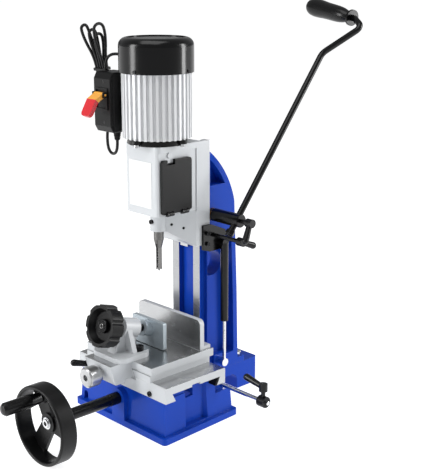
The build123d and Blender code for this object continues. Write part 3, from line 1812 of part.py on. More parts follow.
def switch_frame_block(half):
    """Block in front of the face plate, as high as the raised frame less what its half width is smaller."""
    face_y = box_front - switch_plate_depth
    inset = switch_frame_half - half
    return block(
        box_middle_x() - half, box_middle_x() + half, face_y - switch_frame_height, face_y,
        switch_frame_bottom + inset, switch_frame_top - inset,
    )


def box_middle_x():
    """X of the switch box's middle."""
    return (box_left + box_right) / 2


def paddle_axis_y():
    """Y of the paddle's hinge."""
    return box_front - switch_plate_depth - paddle_hinge_reach / 2


def paddle_side():
    """Side points of the paddle's two stretches: root, knee and tip, each upper then lower."""
    half = paddle_thickness / 2
    yellow = math.radians(yellow_drop)
    red = math.radians(red_drop)
    mitre = (yellow + red) / 2
    spread = half / math.cos((red - yellow) / 2)
    root = (paddle_axis_y(), paddle_hinge_z)
    knee = (root[0] - yellow_length * math.cos(yellow), root[1] - yellow_length * math.sin(yellow))
    tip = (knee[0] - paddle_red_length * math.cos(red), knee[1] - paddle_red_length * math.sin(red))
    pairs = []
    for place, turn, reach in ((root, yellow, half), (knee, mitre, spread), (tip, red, half)):
        across = (-math.sin(turn) * reach, math.cos(turn) * reach)
        pairs.append((place[0] + across[0], place[1] + across[1]))
        pairs.append((place[0] - across[0], place[1] - across[1]))
    return pairs


def switch_paddle():
    """Red lower stretch of the stop paddle, rounded at its tip."""
    points = paddle_side()
    side = outline([points[2], points[4], points[5], points[3]])
    body = prism_x(side, box_middle_x() - paddle_half, box_middle_x() + paddle_half)
    tip = body.faces().sort_by(Axis.Z)[0]
    corners = [edge for edge in tip.edges() if abs(edge.tangent_at(0).X) < paddle_corner / 100]
    return fillet(corners, paddle_corner)


def paddle_cover():
    """Yellow upper stretch of the paddle with its hinge barrel and pivots."""
    middle = box_middle_x()
    half = paddle_half
    radius = paddle_hinge_reach / 2 - side_gap
    points = paddle_side()
    side = outline([points[0], points[2], points[3], points[1]])
    plate = prism_x(side, middle - half, middle + half)
    barrel = round_x(paddle_axis_y(), paddle_hinge_z, radius, middle - half, middle + half)
    reach = paddle_half + side_gap + paddle_lug
    pivot = round_x(paddle_axis_y(), paddle_hinge_z, paddle_pin_radius, middle - reach, middle + reach)
    return barrel + plate + pivot


def strut_plate():
    """Black steel plate bolted to the head's right jaw, carrying the strut and the lock spindle."""
    x1 = head_half + strut_plate_thickness
    low = strut_plate_bottom
    face = outline([
        (strut_plate_front, low + strut_plate_thickness), (strut_plate_front, strut_plate_top),
        (neck_back, strut_plate_top), (strut_plate_back, strut_plate_top - strut_eye_radius * 2),
        (strut_plate_back, low), (strut_plate_front + strut_eye_radius * 2, low),
    ])
    body = prism_x(face, head_half, x1)
    return body - round_x(lock_y, lock_z, clamp_stud_radius + side_gap, head_half - overrun, x1 + overrun)


def strut_plate_screws():
    """Two screws through the strut plate into the jaw."""
    x = head_half + strut_plate_thickness
    y = (strut_plate_front + neck_back) / 2
    solids = []
    for z in (strut_plate_bottom + 2 * strut_eye_radius, strut_plate_top - 2 * strut_eye_radius):
        solids.append(round_x(y, z, stud_radius, x, x + stud_radius))
    return solids


def strut_cylinder():
    """Gas strut's cylinder with its upper eye and the stud that holds it."""
    body = round_z(strut_x, strut_y, strut_radius, strut_bottom, strut_top)
    body = body - round_z(
        strut_x, strut_y, strut_radius - strut_wall, strut_bottom + strut_wall, strut_top - strut_wall * 4
    )
    body = body - round_z(
        strut_x, strut_y, strut_rod_radius + side_gap, strut_bottom - overrun, strut_bottom + 2 * strut_wall
    )
    inner = head_half + strut_plate_thickness
    eye = round_x(strut_y, strut_top, strut_eye_radius, inner, strut_x + strut_radius / 2)
    return body + eye - round_z(
        strut_x, strut_y, strut_radius - strut_wall, strut_bottom + strut_wall, strut_top - strut_wall * 4
    )


def strut_rod():
    """Gas strut's rod and piston, with a lower eye."""
    rod_top = strut_top - 4 * strut_wall - head_travel - strut_piston_height
    body = round_z(strut_x, strut_y, strut_rod_radius, strut_rod_bottom, rod_top)
    piston = strut_radius - strut_wall - side_gap
    body = body + round_z(strut_x, strut_y, piston, rod_top - strut_piston_height, rod_top)
    inner = column_half + strut_foot_thickness
    eye = round_x(strut_y, strut_rod_bottom, strut_eye_radius, inner, strut_x + strut_rod_radius)
    return body + eye


def on_lever_axis(shape):
    """Moves a shape made about the X axis onto the lever's axis."""
    return Pos(0, lever_axis_y, lever_axis_z) * shape


def lever_shaft():
    """Shaft through the column, with its pinion in mesh with the head's rack."""
    half = lever_pinion_width / 2
    gear = prism_x(gear_face(lever_pinion_teeth), -half, half)
    left = -column_half - lever_bush_reach - shaft_collar_length
    shaft = round_x(0, 0, lever_shaft_radius, left, lever_shaft_end())
    return on_lever_axis(gear + shaft)


def lever_shaft_end():
    """Right end of the lever shaft, clear of the rod."""
    return lever_rod_x - lever_rod_radius - side_gap


def lever_collars():
    """Black collars: one on the shaft left of the column, one on the rod below the grip."""
    return gathered([shaft_collar(), grip_collar()])


def shaft_collar():
    """Collar that keeps the lever shaft in the column on the left."""
    end = -column_half - lever_bush_reach - side_gap
    start = end - shaft_collar_length + side_gap
    ring = round_x(0, 0, shaft_collar_radius, start, end)
    return on_lever_axis(ring - round_x(0, 0, lever_shaft_radius, start - overrun, end + overrun))


def lever_direction():
    """Direction of the lever's straight stretch."""
    lean = math.radians(lever_lean)
    return Vector(0, math.sin(lean), math.cos(lean))


def lever_hub():
    """Black hub on the shaft's end that the lever rod passes through."""
    body = round_x(0, 0, hub_outer_radius, hub_inner, hub_outer)
    body = chamfer(body.edges().filter_by(GeomType.CIRCLE).group_by(Axis.X)[-1], overrun)
    bore = round_x(0, 0, lever_shaft_radius, hub_inner - overrun, lever_shaft_end())
    plane = Plane(origin=(lever_rod_x, 0, 0), x_dir=(1, 0, 0), z_dir=lever_direction())
    hole = plane * Cylinder(lever_rod_radius, 4 * hub_outer_radius)
    depth = hub_outer - hub_clamp_depth - side_gap
    stud = round_x(0, 0, clamp_stud_radius + shaft_gap, depth, hub_outer + overrun)
    return on_lever_axis(body - bore - hole - stud)


def lever_points():
    """Route of the lever rod from its tail to the grip, about the lever's axis."""
    along = lever_direction()
    out = Vector(1, 0, 0)
    base = Vector(lever_rod_x, 0, 0)
    bend = base + along * lever_straight
    elbow = bend + along * lever_jog_along + out * lever_jog_out
    turn = elbow + along * lever_top_along - out * lever_top_in
    grip_direction = (along * grip_lean_share - out).normalized()
    end = turn + grip_direction * (collar_length + grip_length * grip_rod_share)
    return [base - along * lever_tail, bend, elbow, turn, end]


def lever_rod():
    """Bent black rod, straight from the hub, then stepping outwards and back over to the grip."""
    points = lever_points()
    radii = [lever_bend_radius, lever_bend_radius / 2, lever_bend_radius / 2]
    path = FilletPolyline(*points, radius=radii)
    start = Plane(origin=points[0], z_dir=lever_direction())
    return on_lever_axis(sweep(start * Circle(lever_rod_radius), path))


def grip_plane(along):
    """Plane square to the grip's axis, a given distance past the last bend."""
    points = lever_points()
    direction = (points[-1] - points[-2]).normalized()
    return Plane(origin=points[-2] + direction * along, z_dir=direction)


def grip_collar():
    """Ring between the rod's bend and the grip."""
    ring = Cylinder(collar_radius, collar_length / 2) - Cylinder(lever_rod_radius, collar_length)
    return on_lever_axis(grip_plane(collar_length) * ring)


def lever_grip():
    """Black turning grip, swelled in the middle and rounded at its end."""
    start = collar_length * 2
    length = grip_length - start / 2
    peak = length * grip_peak_share
    profile = make_face([
        Line((0, 0), (grip_neck_radius, 0)),
        Spline([
            (grip_neck_radius, 0), (grip_radius, peak), (grip_neck_radius, length - grip_neck_radius / 4),
            (0, length),
        ], tangents=[(1, 2), (-1, 0)]),
        Line((0, length), (0, 0)),
    ])
    body = revolve(Plane.XZ * profile, Axis.Z)
    depth = grip_length * grip_rod_share - start / 2 + side_gap
    bore = round_z(0, 0, lever_rod_radius + grip_bore_gap, -overrun, depth)
    return on_lever_axis(grip_plane(start) * (body - bore))


def tail_nut():
    """Chrome nut on the rod's lower end."""
    along = lever_direction()
    origin = Vector(lever_rod_x, 0, 0) - along * lever_tail
    plane = Plane(origin=origin, x_dir=(1, 0, 0), z_dir=along)
    nut = extrude(RegularPolygon(tail_nut_flats / 2, 6, major_radius=False), tail_nut_height)
    dome_radius = tail_nut_flats / 2 - overrun
    dome = Cylinder(dome_radius, tail_nut_height / 3, align=(Align.CENTER, Align.CENTER, Align.MAX))
    bore = Cylinder(lever_rod_radius, tail_nut_height * 2, align=(Align.CENTER, Align.CENTER, Align.MIN))
    return on_lever_axis(plane * (nut + dome - bore))


def hub_clamp_lever():
    """Clamp lever in the hub's end that grips the rod."""
    stud = hub_clamp_reach - clamp_head_length / 2 + hub_clamp_depth
    lever = clamp_lever_solid(hub_clamp_arm, stud, hub_clamp_turn)
    x = hub_outer + hub_clamp_reach
    plane = Plane(origin=(x, 0, 0), x_dir=(0, 1, 0), z_dir=(1, 0, 0))
    return on_lever_axis(plane * lever)


def head_lock_lever():
    """Clamp lever on a long spindle that locks the head on the column."""
    spindle = lock_x - clamp_head_length / 2 - head_half
    lever = clamp_lever_solid(lock_arm, spindle, lock_turn)
    plane = Plane(origin=(lock_x, lock_y, lock_z), x_dir=(0, 1, 0), z_dir=(1, 0, 0))
    return plane * lever


def stop_rod():
    """Chrome rod that sticks out of the base's lug to the right."""
    body = round_x(stop_rod_y, stop_rod_z, stop_rod_radius, stop_rod_start, stop_rod_end)
    return chamfer(body.edges().filter_by(GeomType.CIRCLE), overrun / 2)


def stop_collar():
    """Black collar that slides on the stop rod."""
    half = stop_collar_length / 2
    body = round_x(stop_rod_y, stop_rod_z, stop_collar_radius, stop_collar_x - half, stop_collar_x + half)
    body = chamfer(body.edges().filter_by(GeomType.CIRCLE), overrun)
    bore = stop_rod_radius + way_gap
    body = body - round_x(stop_rod_y, stop_rod_z, bore, stop_rod_start, stop_rod_end + overrun)
    stud = clamp_stud_radius + shaft_gap
    return body - round_z(
        stop_collar_x, stop_rod_y, stud, stop_rod_z + stop_rod_radius, stop_rod_z + 2 * stop_collar_radius
    )


def stop_lever():
    """Clamp lever standing on the stop collar."""
    lever = clamp_lever_solid(stop_arm, stop_stud_height, stop_turn)
    bottom = stop_rod_z + stop_rod_radius + side_gap
    return Pos(stop_collar_x, stop_rod_y, bottom + stop_stud_height + clamp_head_length / 2) * lever


def relief_body():
    """Tapered strain relief under the switch box, seated in its floor."""
    top = box_bottom + relief_seat
    profile = outline([
        (0, top - relief_length), (relief_tip_radius, top - relief_length), (relief_radius, box_bottom),
        (relief_radius, top), (0, top),
    ])
    return Pos(cord_exit_x, cord_exit_y, 0) * revolve(Plane.XZ * profile, Axis.Z)


def lead_bushing_box():
    """Bushing in the top of the switch box that the motor lead comes out of."""
    return round_z(
        lead_start_x, lead_start_y, bushing_radius, box_top - bushing_seat, box_top + bushing_reach
    )


def lead_bushing_cover():
    """Bushing in the fan cover's side that the motor lead goes into."""
    plane = Plane(origin=lead_points()[-1], x_dir=(0, 0, 1), z_dir=lead_entry())
    length = bushing_reach + 2 * cover_wall
    return plane * Cylinder(bushing_radius, length, align=(Align.CENTER, Align.CENTER, Align.MIN))


def cord_glands():
    """Strain relief of the supply cord, the motor lead's two bushings and the hank's tie."""
    return gathered([relief_body(), lead_bushing_box(), lead_bushing_cover(), hank_tie()])


def supply_points():
    """Route of the supply cord: out of the strain relief, round a loop and up beside the box."""
    exit_z = box_bottom + relief_seat - relief_length
    end, heading = hank_stations()[0]
    first = Vector(end.X, cord_rise_y, cord_rise_z)
    start = Vector(cord_exit_x, cord_exit_y, exit_z)
    span = Vector(first.X - start.X, first.Y - start.Y, 0)
    level = span.normalized()
    slope = math.sqrt(loop_run * loop_run / 2)
    flat = span.length - 2 * slope
    down = start - Vector(0, 0, loop_run)
    low = down + level * slope - Vector(0, 0, slope)
    across = low + level * flat
    up = across + level * slope + Vector(0, 0, slope)
    return [start, down, low, across, up, first, end - heading * cord_last_run, end]


def lead_entry():
    """Direction in which the motor lead goes into the cover."""
    turn = math.radians(lead_entry_turn)
    return Vector(math.cos(turn), math.sin(turn), 0)


def lead_points():
    """Route of the motor lead: up out of the switch box, over and into the fan cover's side."""
    start = Vector(lead_start_x, lead_start_y, box_top + bushing_reach)
    slope = math.sqrt(lead_run * lead_run / 2)
    level = start.Z + lead_run + slope
    last = Vector(0, spindle_y, level) - lead_entry() * (cover_radius + bushing_reach)
    before = last - lead_entry() * lead_last_run
    above = start + Vector(0, 0, lead_run)
    toward = Vector(before.X - start.X, before.Y - start.Y, 0).normalized()
    shoulder = above + toward * slope + Vector(0, 0, slope)
    return [start, above, shoulder, before, last]


def bend_radii(points):
    """Radius of the arc at each inner point of a cord's route."""
    radii = []
    for index in range(1, len(points) - 1):
        before = points[index] - points[index - 1]
        after = points[index + 1] - points[index]
        turn = math.radians(before.get_angle(after))
        shorter = min(before.length, after.length)
        radii.append(shorter * bend_share / math.tan(turn / 2))
    return radii


def cord_tube(name, points, radius):
    """Tube along a cord's route, with its radii and its volume against section times length."""
    radii = bend_radii(points)
    path = FilletPolyline(*points, radius=radii)
    start = Plane(origin=points[0], z_dir=points[1] - points[0])
    tube = sweep(start * Circle(radius), path)
    share = tube.volume / (math.pi * radius ** 2 * path.length)
    print(name, "radii", [round(value, 1) for value in radii], "length", round(path.length, 1), "volume share", round(share, 4))
    return tube


def supply_cord():
    """Free stretch of the supply cord."""
    return cord_tube("supply_cord", supply_points(), cord_radius)


def motor_lead():
    """Short lead from the switch to the motor."""
    return cord_tube("motor_lead", lead_points(), lead_radius)


def hank_place(across, along, x):
    """A point of the hank from its place across and along the leaning axis."""
    lean = math.radians(hank_lean)
    y = hank_waist_y + across * math.cos(lean) - along * math.sin(lean)
    z = hank_waist_z + across * math.sin(lean) + along * math.cos(lean)
    return Vector(x, y, z)


def hank_heading(across, along):
    """A direction in the hank's plane."""
    return (hank_place(across, along, 0) - hank_place(0, 0, 0)).normalized()


def hank_top(height, shift, radius, x):
    """Stations of one upper fold, leaning by its shift: side, apex and side."""
    lean = math.atan2(shift, height)
    stations = []
    for turn in (0, math.pi / 2, math.pi):
        reach = height - radius
        across = reach * math.sin(lean) - radius * math.cos(turn + lean)
        along = reach * math.cos(lean) + radius * math.sin(turn + lean)
        heading = hank_heading(math.sin(turn + lean), math.cos(turn + lean))
        stations.append((hank_place(across, along, x), heading))
    return stations


def hank_fold(drop, radius, x):
    """Stations of one lower fold: side, lowest point and side."""
    stations = []
    for turn in (0, math.pi / 2, math.pi):
        across = radius * math.cos(turn)
        along = radius - drop - radius * math.sin(turn)
        heading = hank_heading(-math.sin(turn), -math.cos(turn))
        stations.append((hank_place(across, along, x), heading))
    return stations


def hank_stations():
    """Points and headings of the hank's tube, from its start to the plug."""
    up = hank_heading(0, 1)
    down = hank_heading(0, -1)
    half = hank_waist_half
    x = hank_first_x
    stations = [(hank_place(-half, -hank_start_drop, x), up)]
    for index in range(len(hank_top_heights)):
        stations.append((hank_place(-half, 0, x), up))
        stations += hank_top(hank_top_heights[index], hank_top_shifts[index], hank_top_radii[index], x)
        stations.append((hank_place(half, 0, x), down))
        x = x - hank_layer_step
        if index < len(hank_fold_drops):
            stations += hank_fold(hank_fold_drops[index], hank_fold_radii[index], x)
    stations.append((hank_place(hank_end_across, -hank_end_bend, x), down))
    stations.append((hank_place(hank_end_across, -hank_end_drop, x), down))
    return stations


def straight_run(start, end, heading):
    """Whether a run goes straight along its heading."""
    return (end - start).normalized().dot(heading) > straight_share


def biarc(start, start_heading, end, end_heading):
    """One straight run, or two arcs that meet tangent, from one station to the next."""
    span = end - start
    if straight_run(start, end, start_heading) and start_heading.dot(end_heading) > straight_share:
        return [Line(start, end)]
    sum_heading = start_heading + end_heading
    ease = 1 - start_heading.dot(end_heading)
    along = span.dot(sum_heading)
    if ease < 1 - straight_share:
        reach = span.dot(span) / (4 * span.dot(end_heading))
    else:
        root = math.sqrt(along * along + 2 * ease * span.dot(span))
        reach = (root - along) / (2 * ease)
    middle = (start + end + (start_heading - end_heading) * reach) / 2
    first = TangentArc(start, middle, tangent=start_heading)
    return [first, TangentArc(middle, end, tangent=first % 1)]


def hank_path():
    """The hank's centre line."""
    stations = hank_stations()
    edges = []
    for before, after in zip(stations, stations[1:]):
        edges += biarc(before[0], before[1], after[0], after[1])
    return Wire([edge for piece in edges for edge in piece.edges()])


def least_gap(path, radius):
    """Least gap between a tube's stretches that aren't neighbours, measured on points."""
    count = round(path.length / hank_sample)
    points = [path.position_at(index / count) for index in range(count + 1)]
    skip = math.ceil(math.tau * radius / hank_sample)
    gaps = []
    for index, point in enumerate(points):
        for other in points[index + skip:]:
            gaps.append((other - point).length - 2 * radius)
    return min(gaps)


def cord_hank():
    """The wound up supply cord: one tube in three loops, drawn in at the waist."""
    path = hank_path()
    start = Plane(origin=path.position_at(0), z_dir=path.tangent_at(0))
    tube = sweep(start * Circle(cord_radius), path)
    share = tube.volume / (math.pi * cord_radius ** 2 * path.length)
    gap = least_gap(path, cord_radius)
    print("cord_hank length", round(path.length, 1), "volume share", round(share, 4), "least gap", round(gap, 2))
    return tube


def hank_tie():
    """Flat tie round the hank's waist."""
    layers = len(hank_top_heights)
    last_x = hank_first_x - (layers - 1) * hank_layer_step
    reach_x = (hank_first_x - last_x) / 2 + cord_radius + tie_gap
    reach_y = hank_waist_half + cord_radius + tie_gap
    plane = Plane(
        origin=((hank_first_x + last_x) / 2, hank_waist_y, hank_waist_z), x_dir=(1, 0, 0),
        z_dir=hank_heading(0, 1),
    )
    outer = Box(2 * (reach_x + tie_thickness), 2 * (reach_y + tie_thickness), tie_width)
    inner = Box(2 * reach_x, 2 * reach_y, 2 * tie_width)
    return plane * (outer - inner)


def plug():
    """Moulded plug on the cord's end, with two round pins."""
    end, heading = hank_stations()[-1]
    r0 = plug_neck_radius
    r1 = plug_radius
    neck = plug_neck_length
    body = turned([
        (0, 0), (r0, 0), (r0 * plug_flare_share, neck), (r1, neck + r1 / 2), (r1, neck + plug_length), (0, neck + plug_length),
    ])
    for side in (-1, 1):
        x = side * plug_pin_spacing / 2
        z = neck + plug_length
        body = body + round_z(x, 0, plug_pin_radius, z - overrun, z + plug_pin_length)
    plane = Plane(origin=end, x_dir=(1, 0, 0), z_dir=heading)
    return plane * body


parts = {
    "base_casting": base_casting,
    "bronze_bushes": bronze_bushes,
    "column_casting": column_casting,
    "column_bolts": column_bolts,
    "strut_rod": strut_rod,
    "stop_rod": stop_rod,
    "saddle": saddle,
    "cross_rack": cross_rack,
    "saddle_gib": saddle_gib,
    "feed_nut": feed_nut,
    "table": table,
    "table_gib": table_gib,
    "fence": fence,
    "table_screws": table_screws,
    "clamp_bracket": clamp_bracket,
    "feed_screw": feed_screw,
    "feed_knob": feed_knob,
    "table_lock_lever": table_lock_lever,
    "clamp_plate": clamp_plate,
    "clamp_screw": clamp_screw,
    "clamp_knob": clamp_knob,
    "feed_shaft": feed_shaft,
    "feed_sleeve": feed_sleeve,
    "handwheel": handwheel,
    "wheel_fasteners": wheel_fasteners,
    "crank_handle": crank_handle,
    "head_casting": head_casting,
    "head_rack": head_rack,
    "rating_plate": rating_plate,
    "head_screws": head_screws,
    "chuck_door": door,
    "door_pins": door_pins,
    "motor_flange": motor_flange,
    "motor_body": motor_body,
    "motor_bearings": motor_bearings,
    "fan_cover": fan_cover,
    "motor_rotor": motor_rotor,
    "drill_chuck": drill_chuck,
    "chisel": chisel,
    "auger_bit": auger_bit,
    "switch_box": switch_box,
    "paddle_cover": paddle_cover,
    "switch_paddle": switch_paddle,
    "strut_plate": strut_plate,
    "strut_cylinder": strut_cylinder,
    "lever_shaft": lever_shaft,
    "lever_hub": lever_hub,
    "lever_rod": lever_rod,
    "lever_collars": lever_collars,
    "lever_grip": lever_grip,
    "tail_nut": tail_nut,
    "hub_clamp_lever": hub_clamp_lever,
    "head_lock_lever": head_lock_lever,
    "stop_collar": stop_collar,
    "stop_lever": stop_lever,
    "supply_cord": supply_cord,
    "cord_hank": cord_hank,
    "motor_lead": motor_lead,
    "cord_glands": cord_glands,
    "plug": plug,
}

os.makedirs("parts", exist_ok=True)
for name, make in parts.items():
    export_step(make(), "parts/" + name + ".step")
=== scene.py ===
"""Looks of a benchtop mortiser: finishes, small fittings, cords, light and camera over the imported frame."""
import logging
import math
from dataclasses import dataclass, replace
from enum import Enum
from typing import ClassVar, Iterable, Sequence, Union

import bpy
import numpy as np
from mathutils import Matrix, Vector


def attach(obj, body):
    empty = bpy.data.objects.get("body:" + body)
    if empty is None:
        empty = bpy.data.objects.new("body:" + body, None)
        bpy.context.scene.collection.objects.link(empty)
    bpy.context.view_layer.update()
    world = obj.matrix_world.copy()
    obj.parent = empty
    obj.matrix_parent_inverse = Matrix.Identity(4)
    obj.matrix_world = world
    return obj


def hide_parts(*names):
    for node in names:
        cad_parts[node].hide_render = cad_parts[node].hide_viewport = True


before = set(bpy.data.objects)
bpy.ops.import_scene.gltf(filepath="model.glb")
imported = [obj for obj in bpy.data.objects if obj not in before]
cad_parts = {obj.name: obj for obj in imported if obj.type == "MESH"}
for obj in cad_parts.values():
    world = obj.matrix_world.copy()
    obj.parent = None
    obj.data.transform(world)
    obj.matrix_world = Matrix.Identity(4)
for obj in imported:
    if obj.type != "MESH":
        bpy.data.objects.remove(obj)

LOG = logging.getLogger("mortiser")
MM = 0.001
SRGB_KNEE = 0.04045
SRGB_SLOPE = 12.92
SRGB_LIFT = 0.055
SRGB_POWER = 2.4

Triple = tuple[float, float, float]
Span = tuple[float, float]
Rows = Sequence[Sequence[float]]
Feed = Union[bpy.types.Node, bpy.types.NodeSocket, float, Sequence[float]]
Inputs = dict[Union[str, int], Feed]


def linear(colour: str) -> tuple[float, float, float, float]:
    """Turns an sRGB hex colour into linear light.

    Args:
        colour: Six hex digits, such as "1F3FB0".

    Returns:
        Red, green, blue and an alpha of one, in linear light.
    """
    values = [int(colour[start:start + 2], 16) / 255 for start in (0, 2, 4)]
    red, green, blue = (
        value / SRGB_SLOPE if value <= SRGB_KNEE else ((value + SRGB_LIFT) / (1 + SRGB_LIFT)) ** SRGB_POWER
        for value in values
    )
    return red, green, blue, 1.0


class Texture(Enum):
    """How a surface was made, which settles the pattern of its relief."""

    SPRAYED = "orange peel of sprayed enamel"
    CAST = "sand cast skin under paint"
    GROUND = "fine parallel grinding marks"
    TURNED = "rings left by a lathe tool"
    MOULDED = "spark-eroded mould grain"
    SMOOTH = "polished or plated"


class Along(Enum):
    """Directions in the machine, as seen from its front, where the work clamp and the switch's face are."""

    RIGHT = (1.0, 0.0, 0.0)
    BACK = (0.0, 1.0, 0.0)
    FRONT = (0.0, -1.0, 0.0)
    UP = (0.0, 0.0, 1.0)
    DOWN = (0.0, 0.0, -1.0)


class Slot(Enum):
    """Names of material slots, kept with each fitting but not used."""

    MATTE_BLACK = "matte_black"
    BLACK_STEEL = "black_steel"
    GROUND_STEEL = "ground_steel"
    CORD_RUBBER = "cord_rubber"


@dataclass(frozen=True)
class Finish:
    """One real surface finish.

    Attributes:
        name: Name of the material or process.
        colour: Main colour as sRGB hex.
        wear_and_highlight: Colour laid along sharp edges, as sRGB hex: rubbed wear on blackened steel, and a painted
            highlight on the other finishes.
        texture: Kind of relief.
        grain_mm: Size of one feature of the relief, as drawn.
        relief_mm: Height of the relief.
        roughness: Mean roughness.
        metallic: One for bare metal, zero for paint and plastic.
        shift: Share by which the brightness varies over the surface.
        wear_and_highlight_share: Share of that edge colour, rubbed wear and painted highlight, that shows along edges.
        coat: Weight of a clear coat.
        shine: Specular level, a half for most paints and plastics.
        run: Direction in which grinding marks run.
    """

    name: str
    colour: str
    wear_and_highlight: str
    texture: Texture
    grain_mm: float
    relief_mm: float
    roughness: float
    metallic: float = 0.0
    shift: float = 0.06
    wear_and_highlight_share: float = 0.15
    coat: float = 0.0
    shine: float = 0.5
    run: Along = Along.RIGHT


# One pixel of the main view is about 2 mm, so most real grain is finer than it can show. Each comment says what the
# finish gives the eye, how fine its real grain is, and how coarse it is drawn. Each finish's second colour, lighter
# than its first, is laid along all sharp edges: rubbed wear on blackened steel, and a painted highlight on the rest.

# Gloss enamel sprayed over sand-cast iron: a saturated blue, whose soft gleam wavers over the rough skin.
# The real skin has grains of about 0.5 mm, drawn 5 mm wide.
BLUE_ENAMEL = Finish(
    "BlueEnamelOnIron", "1240AC", "3C60C4", Texture.CAST, 5.0, 0.05, 0.22, shift=0.06, wear_and_highlight_share=0.25, shine=0.12,
)
# The same process in pale grey: bright, cooler than white, with a painted highlight along its edges. Grains of 0.5 mm
# are drawn 4 mm wide.
GREY_ENAMEL = Finish(
    "GreyEnamelOnIron", "C5C8CB", "E2E4E6", Texture.CAST, 4.0, 0.04, 0.30, shift=0.05, wear_and_highlight_share=0.20, shine=0.4,
)
# Stoved black enamel on steel: black with a clear gleam and faint dimples. The real orange peel is 1 mm, drawn 2 mm.
BLACK_ENAMEL = Finish(
    "BlackEnamelOnSteel", "060607", "1C1C1F", Texture.SPRAYED, 2.0, 0.01, 0.22, shift=0.08, wear_and_highlight_share=0.25, shine=0.3,
)
# Black lacquer on the pressed fan cover: the deepest black, with long clear reflections that bend a little.
# Its orange peel of 1 mm is drawn as waves of 6 mm.
GLOSS_BLACK = Finish(
    "GlossBlackCover", "010102", "0C0C0E", Texture.SPRAYED, 6.0, 0.01, 0.20, shift=0.05, wear_and_highlight_share=0.15, shine=0.36,
)
# Moulded nylon: charcoal black with a broad dull sheen. The mould's grain of 0.1 mm is drawn 0.8 mm wide.
BLACK_PLASTIC = Finish(
    "BlackNylon", "070708", "1E1E20", Texture.MOULDED, 0.8, 0.03, 0.38, shift=0.12, wear_and_highlight_share=0.30, shine=0.25,
)
# Nylon of levers and grips, rubbed smooth in use: a tighter gleam. Its grain of 0.1 mm is drawn 0.6 mm wide.
LEVER_PLASTIC = Finish(
    "BlackLeverNylon", "080809", "232325", Texture.MOULDED, 0.6, 0.01, 0.26, shift=0.10, wear_and_highlight_share=0.30, shine=0.3,
)
# Steel blackened in hot salts: satin black that rubs through to grey along its edges. Lathe marks of 0.1 mm are drawn
# 0.6 mm apart.
BLACK_OXIDE = Finish(
    "BlackOxideSteel", "1E1E20", "7A7A7C", Texture.TURNED, 0.6, 0.005, 0.34, metallic=0.7, shift=0.15, wear_and_highlight_share=0.55,
    shine=0.3,
)
# Hardened steel ground lengthwise: a dark warm grey mirror with streaks down the shank, and a painted highlight along
# its sharp edges.
# Marks of 0.05 mm are drawn 0.35 mm apart.
TOOL_STEEL = Finish(
    "HardenedToolSteel", "6C6B6A", "C9C9C9", Texture.GROUND, 0.35, 0.006, 0.26, metallic=1.0, shift=0.18, wear_and_highlight_share=0.45,
    run=Along.UP,
)
# Surface-ground steel: bright grey with fine streaks the way the grinder ran. Marks of 0.05 mm are drawn 0.35 mm
# apart.
GROUND_STEEL = Finish(
    "GroundSteel", "B9BABB", "E6E6E6", Texture.GROUND, 0.35, 0.008, 0.26, metallic=1.0, shift=0.12, wear_and_highlight_share=0.20,
)
# The same steel, ground from front to back.
GROUND_STEEL_Y = replace(GROUND_STEEL, name="GroundSteelAlongY", run=Along.BACK)
# The column's ways, ground up and down: oiled by the slide, so darker and a little duller, drawn 0.4 mm apart.
GROUND_STEEL_Z = replace(
    GROUND_STEEL, name="GroundSteelAlongZ", colour="A7A8AA", grain_mm=0.40, roughness=0.28, run=Along.UP,
)
# Zinc-plated steel: cool and pale, between metal and chalk, with faint clouds. Crystals of 0.2 mm are drawn 2.5 mm
# wide.
ZINC_PLATE = Finish(
    "ZincPlatedSteel", "AEB8BF", "DDE3E6", Texture.SPRAYED, 2.5, 0.01, 0.34, metallic=0.45, shift=0.10, wear_and_highlight_share=0.25,
)
# Chrome plate on polished steel: a clean bright mirror with no grain.
CHROME = Finish(
    "ChromePlate", "D9DADC", "FFFFFF", Texture.SMOOTH, 4.0, 0.0, 0.10, metallic=1.0, shift=0.05, wear_and_highlight_share=0.10,
)
# Silver paint with metal flakes on cast aluminium: pale satin, with a painted highlight along the fins' edges. Flakes
# of 0.05 mm are drawn 1.5 mm wide.
SILVER_MOTOR = Finish(
    "SilverCastAluminium", "D8D9DB", "F6F6F6", Texture.SPRAYED, 1.5, 0.01, 0.36, metallic=0.15, shift=0.06, wear_and_highlight_share=0.30,
    coat=0.10,
)
# Aluminium from the lathe: bright satin with rings. Tool marks of 0.1 mm are drawn 0.5 mm apart.
TURNED_ALUMINIUM = Finish(
    "TurnedAluminium", "C4C5C6", "F0F0F0", Texture.TURNED, 0.5, 0.01, 0.30, metallic=0.95, shift=0.08, wear_and_highlight_share=0.30,
)
# Tin bronze, bored and turned: warm brown gold. Tool marks of 0.1 mm are drawn 0.6 mm apart.
BRONZE = Finish(
    "TinBronze", "B4793C", "E0B070", Texture.TURNED, 0.6, 0.01, 0.32, metallic=1.0, shift=0.12, wear_and_highlight_share=0.20,
)
# Polyester film of the bare rating plate: even white with a thin gloss and no grain.
LABEL = Finish("PolyesterFilm", "E4E6E7", "F4F5F5", Texture.SMOOTH, 3.0, 0.0, 0.35, shift=0.02, wear_and_highlight_share=0.0, coat=0.20)
# Moulded plastic of the stop paddle: signal red, glossy, with a painted highlight along its edges. Its grain of 0.1 mm
# is drawn 1 mm wide.
RED_PLASTIC = Finish(
    "RedPaddlePlastic", "C8202A", "E8606A", Texture.MOULDED, 1.0, 0.01, 0.30, shift=0.10, wear_and_highlight_share=0.30, coat=0.25,
)
# The same plastic of the paddle's root: warm yellow.
YELLOW_PLASTIC = Finish(
    "YellowPaddlePlastic", "F0A83C", "FFD080", Texture.MOULDED, 1.0, 0.01, 0.30, shift=0.08, wear_and_highlight_share=0.30, coat=0.25,
)
